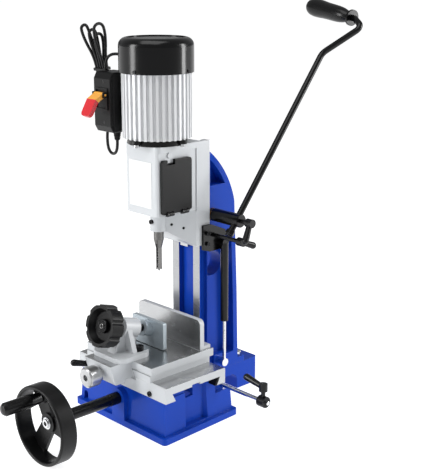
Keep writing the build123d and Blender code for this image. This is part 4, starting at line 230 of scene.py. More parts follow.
# Extruded cord sheath: dull black with a broad highlight. Its skin's grain of 0.2 mm is drawn 1.2 mm wide.
CORD_RUBBER = Finish(
    "CordSheath", "0B0B0C", "202022", Texture.MOULDED, 1.2, 0.02, 0.42, shift=0.12, wear_and_highlight_share=0.10, shine=0.3,
)


@dataclass(frozen=True)
class Patch:
    """A region of a piece that has a finish of its own, such as the machined faces of a painted casting.

    Attributes:
        finish: Finish inside the region.
        low_mm: Lowest corner of the region's box.
        high_mm: Highest corner of the region's box.
        facing: Direction that the region's faces look in, or None for faces of every direction.
    """

    finish: Finish
    low_mm: Triple
    high_mm: Triple
    facing: Along | None = None


FAR_MM = 1000.0


def flat_faces(finish: Finish, facing: Along, span_mm: Span) -> Patch:
    """A patch of flat faces that look one way, between two planes across it.

    Args:
        finish: Finish of those faces.
        facing: Direction that they look in.
        span_mm: Places of the two planes along that direction's axis.

    Returns:
        The patch.
    """
    low, high = [-FAR_MM] * 3, [FAR_MM] * 3
    axis = [abs(value) for value in facing.value].index(1.0)
    low[axis], high[axis] = span_mm
    return Patch(finish, tuple(low), tuple(high), facing)


class Shader:
    """Builds one node material around a single principled shader."""

    def __init__(self, name: str) -> None:
        """Starts a node tree with the shader, the output and the place on the piece.

        Args:
            name: Name of the material.
        """
        self.material = bpy.data.materials.new(name)
        self.material.use_nodes = True
        self.tree = self.material.node_tree
        self.tree.nodes.clear()
        self.surface = self.add("ShaderNodeBsdfPrincipled")
        self.add("ShaderNodeOutputMaterial", {"Surface": self.surface})
        self.place = self.add("ShaderNodeTexCoord").outputs

    def add(self, kind: str, inputs: Inputs | None = None, **settings: object) -> bpy.types.Node:
        """Adds one node.

        Args:
            kind: Type of the node.
            inputs: What feeds its inputs, by name or number.
            **settings: Properties of the node itself.

        Returns:
            The new node.
        """
        node = self.tree.nodes.new(kind)
        for key, value in settings.items():
            setattr(node, key, value)
        self.feed(node, inputs or {})
        return node

    def feed(self, node: bpy.types.Node, inputs: Inputs) -> None:
        """Sets or links inputs of a node.

        Args:
            node: The node.
            inputs: Input name or number to a constant, to an output socket, or to a node whose first output feeds it.
        """
        for key, value in inputs.items():
            if isinstance(value, bpy.types.Node):
                value = value.outputs[0]
            if isinstance(value, bpy.types.NodeSocket):
                self.tree.links.new(value, node.inputs[key])
            else:
                node.inputs[key].default_value = value

    def grain(self, size_mm: float, detail: float, stretch: Triple = (1.0, 1.0, 1.0)) -> bpy.types.NodeSocket:
        """Noise over the piece's own place, with features of a real size.

        Args:
            size_mm: Size of one feature.
            detail: Number of finer layers.
            stretch: Scale along each axis, below one to draw the noise out.

        Returns:
            Socket of the noise, from zero to one.
        """
        scale = [value / (size_mm * MM) for value in stretch]
        mapping = self.add("ShaderNodeMapping", {"Vector": self.place["Object"], "Scale": scale})
        texture = self.add("ShaderNodeTexNoise", {"Vector": mapping, "Scale": 1.0, "Detail": detail})
        return texture.outputs["Fac"]


@dataclass(frozen=True)
class Layer:
    """One finish as numbers and sockets, ready to be mixed with another.

    Attributes:
        colour: Its colour.
        roughness: Its roughness.
        metallic: Its share of bare metal.
        height: Height of its relief, from zero to one.
        relief: What a height of one is, in metres.
    """

    colour: Feed
    roughness: Feed
    metallic: Feed
    height: Feed
    relief: Feed


class MaterialShop:
    """Makes each material once and puts it on its pieces.

    Attributes:
        EDGE_MM: Radius over which edges are rounded in the light.
        EDGE_SAMPLES: Rays that look for an edge.
        EDGE_LIKENESS: Cosine between rounded and true normal under which a place is on an edge.
        FACING_LIKENESS: Cosine over which a face looks in a patch's direction.
        SMUDGE_MM: Size of the broad smudges in colour and gloss.
        SMUDGE_DETAIL: Finer layers in the smudges.
        GRAIN_DETAIL: Finer layers in machined and cast grain.
        SKIN_DETAIL: Finer layers in sprayed, moulded and plated skins.
        FINE_SKIN: Size of a cast skin's finer grains, as a share of the coarse ones.
        FINE_SKIN_SHARE: Share of the finer grains in that skin.
        GRIND_STRETCH: Scale of ground marks along their run, as a share of their scale across it.
        LATHE_STRETCH: Scale of lathe marks along each axis.
        RELIEF_IN_TONE: Share of the relief in the tone, the rest being smudges.
        ROUGH_SWING: Share by which the roughness goes up from the smoothest place to the roughest.
        COAT_POLISH: How many times smoother the clear coat is than what it covers.
    """

    EDGE_MM = 0.7
    EDGE_SAMPLES = 4
    EDGE_LIKENESS = 0.97
    FACING_LIKENESS = 0.9
    SMUDGE_MM = 35.0
    SMUDGE_DETAIL = 4.0
    GRAIN_DETAIL = 2.0
    SKIN_DETAIL = 3.0
    FINE_SKIN = 0.25
    FINE_SKIN_SHARE = 0.35
    GRIND_STRETCH = 0.012
    LATHE_STRETCH = (1.0, 0.35, 1.0)
    RELIEF_IN_TONE = 0.3
    ROUGH_SWING = 0.5
    COAT_POLISH = 3

    def __init__(self) -> None:
        """Starts with no materials."""
        self.made: dict[tuple[Finish, tuple[Patch, ...]], bpy.types.Material] = {}

    def relief(self, shader: Shader, finish: Finish) -> Feed:
        """Height pattern of a finish.

        Ground marks are noise drawn out far along their run, lathe marks are noise drawn out threefold from front
        to back, and a sand-cast skin is coarse noise with a share of finer noise.

        Args:
            shader: The material being built.
            finish: The finish whose texture is wanted.

        Returns:
            A height from zero to one.
        """
        size = finish.grain_mm
        if finish.texture is Texture.GROUND:
            stretch = tuple(self.GRIND_STRETCH if value else 1.0 for value in finish.run.value)
            return shader.grain(size, self.GRAIN_DETAIL, stretch)
        if finish.texture is Texture.TURNED:
            return shader.grain(size, self.GRAIN_DETAIL, self.LATHE_STRETCH)
        if finish.texture is Texture.CAST:
            coarse, fine = (shader.grain(width, self.GRAIN_DETAIL) for width in (size, size * self.FINE_SKIN))
            return shader.add("ShaderNodeMix", {0: self.FINE_SKIN_SHARE, 2: coarse, 3: fine}, data_type="FLOAT")
        return shader.grain(size, self.SKIN_DETAIL)

    def layer(self, shader: Shader, finish: Finish, edge: Feed) -> Layer:
        """Colour, roughness and relief of one finish.

        The tone mixes broad smudges with the relief and lies about a half. The brightness is one minus the shift plus
        twice the shift times the tone. The roughness is the finish's, times one minus half the swing plus the swing
        times the tone. Along sharp edges the finish's second, lighter colour shows by twice its share times the
        smudges:
        a painted highlight on most finishes, and rubbed wear on blackened steel.

        Args:
            shader: The material being built.
            finish: The finish.
            edge: One along sharp edges, zero elsewhere.

        Returns:
            The finish as numbers and sockets.
        """
        height = self.relief(shader, finish)
        smudge = shader.grain(self.SMUDGE_MM, self.SMUDGE_DETAIL)
        tone = shader.add("ShaderNodeMix", {0: self.RELIEF_IN_TONE, 2: smudge, 3: height}, data_type="FLOAT")
        double, least = 2 * finish.shift, 1 - finish.shift
        bright = shader.add("ShaderNodeMath", {0: tone, 1: double, 2: least}, operation="MULTIPLY_ADD")
        plain = shader.add("ShaderNodeHueSaturation", {"Value": bright, "Color": linear(finish.colour)})
        # Painted highlight along sharp edges, with rubbed wear on blackened steel: the finish's lighter second colour
        # is mixed in where the rounded normal leaves the true one.
        rubbed_and_highlit = shader.add("ShaderNodeMath", {0: edge, 1: smudge}, operation="MULTIPLY")
        wear_and_highlight = shader.add("ShaderNodeMath", {0: rubbed_and_highlit, 1: 2 * finish.wear_and_highlight_share}, operation="MULTIPLY")
        colour = shader.add("ShaderNodeMixRGB", {0: wear_and_highlight, 1: plain, 2: linear(finish.wear_and_highlight)})
        swing, polished = self.ROUGH_SWING * finish.roughness, (1 - self.ROUGH_SWING / 2) * finish.roughness
        rough = shader.add("ShaderNodeMath", {0: tone, 1: swing, 2: polished}, operation="MULTIPLY_ADD")
        return Layer(colour, rough, finish.metallic, height, finish.relief_mm * MM)

    def mask(self, shader: Shader, patch: Patch) -> Feed:
        """One inside a patch, zero outside it.

        A place is inside the box where the least of its distances to the six sides, measured inwards, is over zero.

        Args:
            shader: The material being built.
            patch: The patch.

        Returns:
            The mask.
        """
        place = shader.place["Object"]
        low, high = ([value * MM for value in corner] for corner in (patch.low_mm, patch.high_mm))
        above = shader.add("ShaderNodeVectorMath", {0: place, 1: low}, operation="SUBTRACT")
        below = shader.add("ShaderNodeVectorMath", {0: high, 1: place}, operation="SUBTRACT")
        least = shader.add("ShaderNodeVectorMath", {0: above, 1: below}, operation="MINIMUM")
        x, y, z = shader.add("ShaderNodeSeparateXYZ", {0: least}).outputs
        flat = shader.add("ShaderNodeMath", {0: x, 1: y}, operation="MINIMUM")
        depth = shader.add("ShaderNodeMath", {0: flat, 1: z}, operation="MINIMUM")
        found = shader.add("ShaderNodeMath", {0: depth, 1: 0.0}, operation="GREATER_THAN")
        if patch.facing is None:
            return found
        outward = shader.add(
            "ShaderNodeVectorMath", {0: shader.place["Normal"], 1: patch.facing.value}, operation="DOT_PRODUCT",
        ).outputs["Value"]
        faced = shader.add("ShaderNodeMath", {0: outward, 1: self.FACING_LIKENESS}, operation="GREATER_THAN")
        return shader.add("ShaderNodeMath", {0: found, 1: faced}, operation="MULTIPLY")

    def laid_over(self, shader: Shader, share: Feed, base: Layer, top: Layer) -> Layer:
        """Mixes two finishes, and keeps a number that both have.

        Args:
            shader: The material being built.
            share: Share of the upper finish.
            base: The lower finish.
            top: The upper finish.

        Returns:
            The mixed finish.
        """
        mixed = {"colour": shader.add("ShaderNodeMixRGB", {0: share, 1: base.colour, 2: top.colour})}
        for name in ("roughness", "metallic", "height", "relief"):
            below, above = getattr(base, name), getattr(top, name)
            mixed[name] = below if below == above else shader.add(
                "ShaderNodeMix", {0: share, 2: below, 3: above}, data_type="FLOAT",
            )
        return Layer(**mixed)

    def material(self, finish: Finish, patches: tuple[Patch, ...] = ()) -> bpy.types.Material:
        """Makes a material, or returns the one already made.

        Sharp edges are where the normal, rounded over a small radius, leaves the true one.

        Args:
            finish: Main finish.
            patches: Regions with finishes of their own.

        Returns:
            The material.
        """
        key = (finish, patches)
        if key in self.made:
            return self.made[key]
        shader = Shader("With".join([finish.name, *dict.fromkeys(patch.finish.name for patch in patches)]))
        rounded = shader.add("ShaderNodeBevel", {"Radius": self.EDGE_MM * MM}, samples=self.EDGE_SAMPLES)
        true_normal = shader.add("ShaderNodeNewGeometry").outputs["Normal"]
        alike = shader.add(
            "ShaderNodeVectorMath", {0: rounded, 1: true_normal}, operation="DOT_PRODUCT",
        ).outputs["Value"]
        edge = shader.add("ShaderNodeMath", {0: alike, 1: self.EDGE_LIKENESS}, operation="LESS_THAN")
        look = self.layer(shader, finish, edge)
        for patch in patches:
            look = self.laid_over(shader, self.mask(shader, patch), look, self.layer(shader, patch.finish, edge))
        bump = shader.add(
            "ShaderNodeBump", {"Height": look.height, "Distance": look.relief, "Strength": 1.0, "Normal": rounded},
        )
        shader.feed(shader.surface, {
            "Base Color": look.colour,
            "Roughness": look.roughness,
            "Metallic": look.metallic,
            "Normal": bump,
            "Specular IOR Level": finish.shine,
            "Coat Weight": finish.coat,
            "Coat Roughness": finish.roughness / self.COAT_POLISH,
        })
        self.made[key] = shader.material
        return shader.material

    def dress(self, piece: bpy.types.Object, finish: Finish, patches: tuple[Patch, ...] = ()) -> None:
        """Puts a finish on a piece.

        Args:
            piece: A mesh or curve object.
            finish: The finish that it gets.
            patches: Its regions with finishes of their own.
        """
        piece.data.materials.clear()
        piece.data.materials.append(self.material(finish, patches))


def make_mesh(name: str, points: Iterable, faces: Iterable) -> bpy.types.Object:
    """Makes a mesh object whose origin is the world's.

    Args:
        name: Name of the object.
        points: Corners in metres.
        faces: Corner numbers of each face.

    Returns:
        The new object, linked to the scene.
    """
    mesh = bpy.data.meshes.new(name)
    mesh.from_pydata(points, [], faces)
    mesh.update()
    piece = bpy.data.objects.new(name, mesh)
    bpy.context.scene.collection.objects.link(piece)
    return piece


# Points in a ring of a turned fitting, and half the angle that a hexagon's flat spans.
RING_POINTS = 48
HALF_FLAT = math.pi / 6
# A socket head's broken edge and key, as shares of its radius, the key's mouth, as a share of the key, and where the
# key's walls start and end, as shares of the head's height.
BROKEN_EDGE = 0.12
KEY_SHARE = 0.52
KEY_MOUTH = 1.1
KEY_SHOULDER = 0.75
KEY_FLOOR = 0.2
# A rib's outline, as shares of the step along the sleeve and of the rib's reach.
RIB_SHAPE = ((0.0, 0.0), (0.2, 1.0), (0.55, 1.0), (0.75, 0.0))


@dataclass(frozen=True)
class Turned:
    """A small fitting turned about an axis, with a hexagon where a key goes in.

    Attributes:
        name: Name of the piece.
        body: Moving body that it rides on.
        finish: Its finish.
        slot: Name of a material slot; not used.
        place_mm: Point of the axis where the rows' heights start.
        axis: Direction in which the heights grow.
        rows: Radius, height and hexagon share of each ring of points, from the hidden foot to the key's floor.
    """

    name: str
    body: str
    finish: Finish
    slot: Slot
    place_mm: Triple
    axis: Triple
    rows: Rows

    def build(self) -> bpy.types.Object:
        """Makes the fitting as one closed mesh.

        Each row is a ring of points. A point's radius is the row's, times one for a circle, or times the cosine of
        thirty degrees over the cosine of its angle from the middle of its flat for a hexagon, mixed by the row's
        hexagon share. Its place is the axis point at the row's height, plus the radius times the cosine and the sine
        of its angle along two directions across the axis.

        Returns:
            The new object.
        """
        rows = np.array(self.rows)
        angles = np.arange(RING_POINTS) * (2 * math.pi / RING_POINTS)
        flat = math.cos(HALF_FLAT) / np.cos(np.mod(angles, 2 * HALF_FLAT) - HALF_FLAT)
        share = rows[:, 2:3]
        radius = rows[:, 0:1] * (1 - share + share * flat)
        upward = Vector(self.axis).normalized()
        side = upward.orthogonal().normalized()
        other = upward.cross(side)
        points = (
            np.array(self.place_mm) + rows[:, 1, None, None] * np.array(upward)
            + (radius * np.cos(angles))[..., None] * np.array(side)
            + (radius * np.sin(angles))[..., None] * np.array(other)
        ) * MM
        ring = np.arange(RING_POINTS)
        start = np.arange(len(rows) - 1)[:, None] * RING_POINTS
        after = np.roll(ring, -1)
        above = start + RING_POINTS
        sides = np.stack((start + ring, start + after, above + after, above + ring), axis=-1)
        foot, top = ring[::-1].tolist(), (ring + above[-1]).tolist()
        return make_mesh(self.name, points.reshape(-1, 3).tolist(), [foot, *sides.reshape(-1, 4).tolist(), top])


def cap_screw(radius: float, height: float, sink: float = 1.0) -> Rows:
    """Rows of a socket head: straight side, broken edge, flat top and a hexagon socket that stays over the seat.

    Args:
        radius: Radius of the head.
        height: Height of the head over its seat.
        sink: Depth of its foot under the seat.

    Returns:
        The rows.
    """
    edge, key = radius * BROKEN_EDGE, radius * KEY_SHARE
    return (
        (radius, -sink, 0.0), (radius, height - edge, 0.0), (radius - edge, height, 0.0),
        (key * KEY_MOUTH, height, 0.0), (key, height * KEY_SHOULDER, 1.0), (key, height * KEY_FLOOR, 1.0),
    )


def ribs(count: int, step: float, foot: float, tip: float, reach: float) -> Rows:
    """Rows of a tapered ribbed sleeve.

    The root's radius goes evenly from the foot's to the tip's, rib by rib. Each rib leaves its root, stands over it by
    its reach and comes back, at fixed shares of the step.

    Args:
        count: Number of ribs.
        step: Distance from rib to rib.
        foot: Radius at the first rib's root.
        tip: Radius at the last rib's root.
        reach: Height of a rib over its root.

    Returns:
        The rows.
    """
    order = np.arange(count)[:, None]
    along, out = np.array(RIB_SHAPE).T
    radius = foot + (tip - foot) * order / (count - 1) + reach * out
    height = step * (order + along)
    return np.stack((radius, height, np.zeros_like(radius)), axis=-1).reshape(-1, 3).tolist()


class SubAssembly:
    """A part of the machine: the CAD nodes that it dresses, and the small fittings that only the scene has.

    Attributes:
        NODES: Names of its CAD nodes, by finish.
    """

    NODES: ClassVar[dict[Finish, tuple[str, ...]]] = {}

    def patches(self) -> dict[str, tuple[Patch, ...]]:
        """Regions of its nodes with a finish of their own, none here."""
        return {}

    def fittings(self) -> tuple[Turned, ...]:
        """Its turned fittings, none here."""
        return ()

    def build(self, shop: MaterialShop) -> list[bpy.types.Object]:
        """Dresses the nodes, and makes each fitting and sets it on the body that carries it.

        Args:
            shop: Source of the materials.

        Returns:
            The nodes and the new pieces.
        """
        pieces, patches = [], self.patches()
        for finish, names in self.NODES.items():
            for name in names:
                shop.dress(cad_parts[name], finish, patches.get(name, ()))
                pieces.append(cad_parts[name])
        for fitting in self.fittings():
            piece = fitting.build()
            shop.dress(piece, fitting.finish)
            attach(piece, fitting.body)
            pieces.append(piece)
        return pieces


@dataclass(frozen=True)
class BaseAndColumn(SubAssembly):
    """Blue base and column, with their bolts, bushes and the rods that stand on them.

    Attributes:
        base_way_mm: Heights between which the base's ground way lies.
        column_way_mm: Depths between which the column's ground way lies.
    """

    base_way_mm: Span = (95.5, 96.5)
    column_way_mm: Span = (79.5, 80.5)

    NODES = {
        BLUE_ENAMEL: ("base_casting", "column_casting"),
        CHROME: ("column_bolts", "strut_rod", "stop_rod"),
        BRONZE: ("bronze_bushes",),
    }

    def patches(self) -> dict[str, tuple[Patch, ...]]:
        """The ground ways."""
        return {
            "base_casting": (flat_faces(GROUND_STEEL, Along.UP, self.base_way_mm),),
            "column_casting": (flat_faces(GROUND_STEEL_Z, Along.FRONT, self.column_way_mm),),
        }


@dataclass(frozen=True)
class CrossSlide(SubAssembly):
    """Saddle, table and fence, with their screws, gibs, rack and lock.

    Attributes:
        saddle_top_mm: Heights between which the saddle's ground top lies.
        saddle_lips_mm: Heights between which the saddle's ground lips lie.
        table_top_mm: Heights between which the table's ground top lies.
        fence_face_mm: Depths between which the fence's ground face lies.
    """

    saddle_top_mm: Span = (120.5, 121.5)
    saddle_lips_mm: Span = (109.5, 110.5)
    table_top_mm: Span = (135.0, 136.5)
    fence_face_mm: Span = (33.5, 34.5)

    NODES = {
        GREY_ENAMEL: ("saddle", "table", "fence"),
        BLACK_OXIDE: ("saddle_gib", "table_gib", "table_screws"),
        GROUND_STEEL: ("cross_rack", "feed_screw"),
        BRONZE: ("feed_nut",),
        TURNED_ALUMINIUM: ("feed_knob",),
        LEVER_PLASTIC: ("table_lock_lever",),
    }

    def patches(self) -> dict[str, tuple[Patch, ...]]:
        """The ground faces of the three castings."""
        return {
            "table": (flat_faces(GROUND_STEEL, Along.UP, self.table_top_mm),),
            "saddle": (
                flat_faces(GROUND_STEEL_Y, Along.UP, self.saddle_top_mm),
                flat_faces(GROUND_STEEL_Y, Along.UP, self.saddle_lips_mm),
            ),
            "fence": (flat_faces(GROUND_STEEL, Along.FRONT, self.fence_face_mm),),
        }


@dataclass(frozen=True)
class WorkClamp(SubAssembly):
    """Tilted clamp in front of the work, whose knob has turned rings and a screw end in its face.

    Attributes:
        plate_face_mm: Depths between which the pressure plate's ground face lies.
        boss_mm: Middle of the knob's face.
        outward: Direction in which that face looks.
        rings: Rows of the rings.
        end_radius: Radius of the screw's end.
        end_height: Height of the screw's end over the face.
    """

    plate_face_mm: Span = (-10.5, -9.5)
    boss_mm: Triple = (0.0, -124.8, 201.2)
    outward: Triple = (0.0, -0.961262, 0.275637)
    rings: tuple[Triple, ...] = (
        (12.6, -1.0, 0.0), (12.6, 0.8, 0.0), (12.0, 1.4, 0.0), (10.6, 1.4, 0.0), (10.2, 0.7, 0.0), (9.0, 0.7, 0.0),
        (8.6, 1.6, 0.0), (7.4, 1.6, 0.0), (7.0, 0.8, 0.0), (6.4, 0.8, 0.0),
    )
    end_radius: float = 5.2
    end_height: float = 2.4

    NODES = {
        GREY_ENAMEL: ("clamp_bracket",),
        ZINC_PLATE: ("clamp_plate",),
        BLACK_OXIDE: ("clamp_screw",),
        BLACK_PLASTIC: ("clamp_knob",),
    }

    def patches(self) -> dict[str, tuple[Patch, ...]]:
        """The plate's face."""
        return {"clamp_plate": (flat_faces(GROUND_STEEL, Along.BACK, self.plate_face_mm),)}

    def fittings(self) -> tuple[Turned, ...]:
        """The knob's rings and the screw's end in their middle."""
        end = cap_screw(self.end_radius, self.end_height)
        return (
            Turned(
                "ClampKnobRings", "clamp_spindle", LEVER_PLASTIC, Slot.MATTE_BLACK, self.boss_mm, self.outward,
                self.rings,
            ),
            Turned("ClampScrewEnd", "clamp_spindle", TOOL_STEEL, Slot.GROUND_STEEL, self.boss_mm, self.outward, end),
        )


@dataclass(frozen=True)
class WheelFeed(SubAssembly):
    """Handwheel with its shaft and the handle that turns on its rim."""

    NODES = {
        BLACK_PLASTIC: ("handwheel",),
        LEVER_PLASTIC: ("crank_handle",),
        BLACK_ENAMEL: ("feed_sleeve",),
        GROUND_STEEL: ("feed_shaft",),
        CHROME: ("wheel_fasteners",),
    }


@dataclass(frozen=True)
class Head(SubAssembly):
    """Grey head with its door, strut, lock and depth stop.

    Attributes:
        plated_low_mm: Lowest corner of the box whose screws are chrome plated, the motor's flange bolts.
        plated_high_mm: Highest corner of that box.
        lugs_low_mm: Lowest corner of the door's lugs, which are nylon as the door is.
        lugs_high_mm: Highest corner of the lugs.
        gusset_out: Direction in which the gusset's right face looks.
        front_screw_mm: Place of the gusset's front screw.
        back_screw_mm: Place of the gusset's back screw.
        screw_radius: Radius of the gusset screws' heads.
        screw_height: Height of those heads.
    """

    plated_low_mm: Triple = (-200.0, -200.0, 480.0)
    plated_high_mm: Triple = (200.0, 200.0, 530.0)
    lugs_low_mm: Triple = (46.3, -60.0, 385.0)
    lugs_high_mm: Triple = (70.0, 60.0, 402.0)
    gusset_out: Triple = (0.853, -0.522, 0.0)
    front_screw_mm: Triple = (21.6, 25.1, 367.0)
    back_screw_mm: Triple = (33.3, 44.3, 359.2)
    screw_radius: float = 2.6
    screw_height: float = 0.3

    NODES = {
        GREY_ENAMEL: ("head_casting",),
        BLACK_ENAMEL: ("strut_plate", "strut_cylinder"),
        BLACK_PLASTIC: ("chuck_door",),
        LEVER_PLASTIC: ("head_lock_lever", "stop_lever"),
        BLACK_OXIDE: ("stop_collar", "door_pins", "head_screws"),
        GROUND_STEEL: ("head_rack",),
        LABEL: ("rating_plate",),
    }

    def patches(self) -> dict[str, tuple[Patch, ...]]:
        """The plated bolts among the head's screws, and the door's lugs on its casting."""
        return {
            "head_screws": (Patch(CHROME, self.plated_low_mm, self.plated_high_mm),),
            "head_casting": (Patch(LEVER_PLASTIC, self.lugs_low_mm, self.lugs_high_mm),),
        }

    def fittings(self) -> tuple[Turned, ...]:
        """The two low screw heads on the gusset."""
        head = cap_screw(self.screw_radius, self.screw_height)
        places = {"GussetScrewFront": self.front_screw_mm, "GussetScrewBack": self.back_screw_mm}
        return tuple(
            Turned(name, "head", BLACK_PLASTIC, Slot.MATTE_BLACK, place, self.gusset_out, head)
            for name, place in places.items()
        )


@dataclass(frozen=True)
class MotorAndTool(SubAssembly):
    """Finned motor under its cover, with the chuck, the hollow chisel and the bit."""

    NODES = {
        SILVER_MOTOR: ("motor_body",),
        BLACK_ENAMEL: ("motor_flange",),
        GLOSS_BLACK: ("fan_cover",),
        GROUND_STEEL: ("motor_bearings", "motor_rotor", "drill_chuck"),
        TOOL_STEEL: ("chisel", "auger_bit"),
    }


@dataclass(frozen=True)
class Switch(SubAssembly):
    """Switch box with its stop paddle, screws, cord entries and plug.

    Attributes:
        relief_mm: Middle of the strain relief's upper end, where the ribs start.
        rib_count: Number of ribs.
        rib_step: Distance from rib to rib.
        rib_foot: Radius at the first rib's root.
        rib_tip: Radius at the last rib's root.
        rib_reach: Height of a rib over its root.
        grommet_mm: Middle of the box's top where the motor's lead leaves it.
        grommet: Rows of the grommet round the lead.
        upper_screw_mm: Place of the face's upper screw.
        lower_screw_mm: Place of the face's lower screw.
        screw_radius: Radius of the two heads.
        screw_height: Height of the heads, low enough for the paddle to swing over them.
    """

    relief_mm: Triple = (-83.0, -14.0, 531.5)
    rib_count: int = 5
    rib_step: float = 3.0
    rib_foot: float = 6.6
    rib_tip: float = 4.7
    rib_reach: float = 0.9
    grommet_mm: Triple = (-107.5, -18.0, 642.0)
    grommet: tuple[Triple, ...] = (
        (6.2, -1.0, 0.0), (6.2, 0.9, 0.0), (5.6, 1.5, 0.0), (3.4, 1.5, 0.0), (3.2, 1.0, 0.0),
    )
    upper_screw_mm: Triple = (-88.0, -40.0, 625.0)
    lower_screw_mm: Triple = (-88.0, -40.0, 551.0)
    screw_radius: float = 2.8
    screw_height: float = 0.4

    NODES = {
        BLACK_PLASTIC: ("switch_box", "cord_glands", "plug"),
        RED_PLASTIC: ("switch_paddle",),
        YELLOW_PLASTIC: ("paddle_cover",),
    }

    def fittings(self) -> tuple[Turned, ...]:
        """The ribs of the strain relief, the lead's grommet and the face's two screws."""
        relief = ribs(self.rib_count, self.rib_step, self.rib_foot, self.rib_tip, self.rib_reach)
        head = cap_screw(self.screw_radius, self.screw_height)
        down, up, front = Along.DOWN.value, Along.UP.value, Along.FRONT.value
        return (
            Turned("ReliefRibs", "head", CORD_RUBBER, Slot.MATTE_BLACK, self.relief_mm, down, relief),
            Turned("LeadGrommet", "head", CORD_RUBBER, Slot.MATTE_BLACK, self.grommet_mm, up, self.grommet),
            Turned("SwitchScrewUpper", "head", BLACK_OXIDE, Slot.BLACK_STEEL, self.upper_screw_mm, front, head),
            Turned("SwitchScrewLower", "head", BLACK_OXIDE, Slot.BLACK_STEEL, self.lower_screw_mm, front, head),
        )


@dataclass(frozen=True)
class PullLever(SubAssembly):
    """Long lever that pulls the head down, with its hub, clamp and revolving grip."""

    NODES = {
        BLACK_ENAMEL: ("lever_hub", "lever_rod", "lever_collars"),
        LEVER_PLASTIC: ("hub_clamp_lever", "lever_grip"),
        GROUND_STEEL: ("lever_shaft",),
        BLACK_OXIDE: ("tail_nut",),
    }


class FarEnd(Enum):
    """What is on the far end of a cord."""

    PLUG = "plug"
    MACHINE = "object"


class Lay(Enum):
    """How a cord lies."""

    HANK = "coiled"
    SHORT_LEAD = "loose"


@dataclass(frozen=True)
class CordRoute:
    """One flexible cord and the corners of its route.

    Attributes:
        name: Name of the piece.
        corners_mm: Control points of its line, in millimetres.
        length_mm: Real length; not used.
        diameter_mm: Real diameter.
        far_end: What is on its far end; not used.
        lay: How it lies; not used.
        stands_for: CAD solids that it takes the place of.
        carries: CAD nodes that are on it; not used.
        stiffness: How stiff it is; not used.
    """

    name: str
    corners_mm: tuple[Triple, ...]
    length_mm: float
    diameter_mm: float
    far_end: FarEnd
    lay: Lay
    stands_for: tuple[str, ...]
    carries: tuple[str, ...] = ()
    stiffness: str = "medium"


# From the strain relief down, round behind the switch box, through the four loops of the tied hank and to the plug.
MAINS_CORNERS = (
    (-83.0, -14.0, 516.0), (-83.0, -14.0, 499.4), (-94.5, -11.7, 487.7), (-111.5, -8.3, 487.7), (-123.0, -6.0, 499.4),
    (-123.0, -6.0, 530.0), (-123.0, 6.7, 563.9), (-123.0, 3.0, 581.5), (-123.0, -9.9, 642.2),
    (-123.0, -13.7, 660.0), (-123.0, -27.4, 693.8), (-123.0, -31.5, 716.6), (-123.0, -25.8, 724.8),
    (-123.0, -16.0, 726.5), (-123.0, -7.9, 720.9), (-123.0, -3.7, 698.0), (-123.0, -5.9, 661.7),
    (-123.0, 2.2, 623.7), (-130.0, 17.3, 586.2), (-130.0, 22.5, 561.6), (-130.0, 17.6, 554.0),
    (-130.0, 8.7, 552.1), (-130.0, 1.0, 557.0), (-130.0, -4.2, 581.4), (-130.0, -5.7, 622.2),
    (-130.0, -12.9, 656.0), (-130.0, -21.4, 683.0), (-130.0, -24.2, 700.6), (-130.0, -19.8, 706.6),
    (-130.0, -12.4, 707.8), (-130.0, -6.4, 703.4), (-130.0, -3.6, 685.8), (-130.0, -5.0, 657.6),
    (-130.0, 2.4, 622.8), (-137.0, 17.0, 583.0), (-137.0, 22.3, 557.9), (-137.0, 17.8, 550.9),
    (-137.0, 9.7, 549.2), (-137.0, 2.8, 553.7), (-137.0, -2.5, 578.7), (-137.0, -5.5, 621.3),
    (-137.0, -13.4, 658.4), (-137.0, -26.6, 688.7), (-137.0, -31.8, 707.8), (-137.0, -28.5, 713.6),
    (-137.0, -22.1, 715.3), (-137.0, -16.3, 712.0), (-137.0, -11.1, 692.8), (-137.0, -5.5, 660.1),
    (-137.0, 2.2, 623.6), (-144.0, 15.5, 584.9), (-144.0, 20.6, 561.0), (-144.0, 16.6, 554.8),
    (-144.0, 9.3, 553.2), (-144.0, 3.0, 557.3), (-144.0, -2.0, 581.0), (-144.0, -5.6, 622.0),
    (-144.0, -14.0, 661.4), (-144.0, -35.1, 694.6), (-144.0, -43.7, 715.8), (-144.0, -41.3, 721.5),
    (-144.0, -35.6, 723.8), (-144.0, -29.8, 721.4), (-144.0, -21.2, 700.1), (-144.0, -6.2, 663.3),
    (-144.0, 1.3, 627.9), (-151.0, 31.9, 618.7), (-151.0, 35.3, 602.7), (-151.0, 36.9, 594.9),
)
# From the grommet up and over to the fan cover's side.
LEAD_CORNERS = (
    (-107.5, -18.0, 646.0), (-107.5, -18.0, 661.5), (-98.2, -12.2, 672.5), (-83.2, -2.7, 672.5), (-70.4, -0.4, 672.5),
)


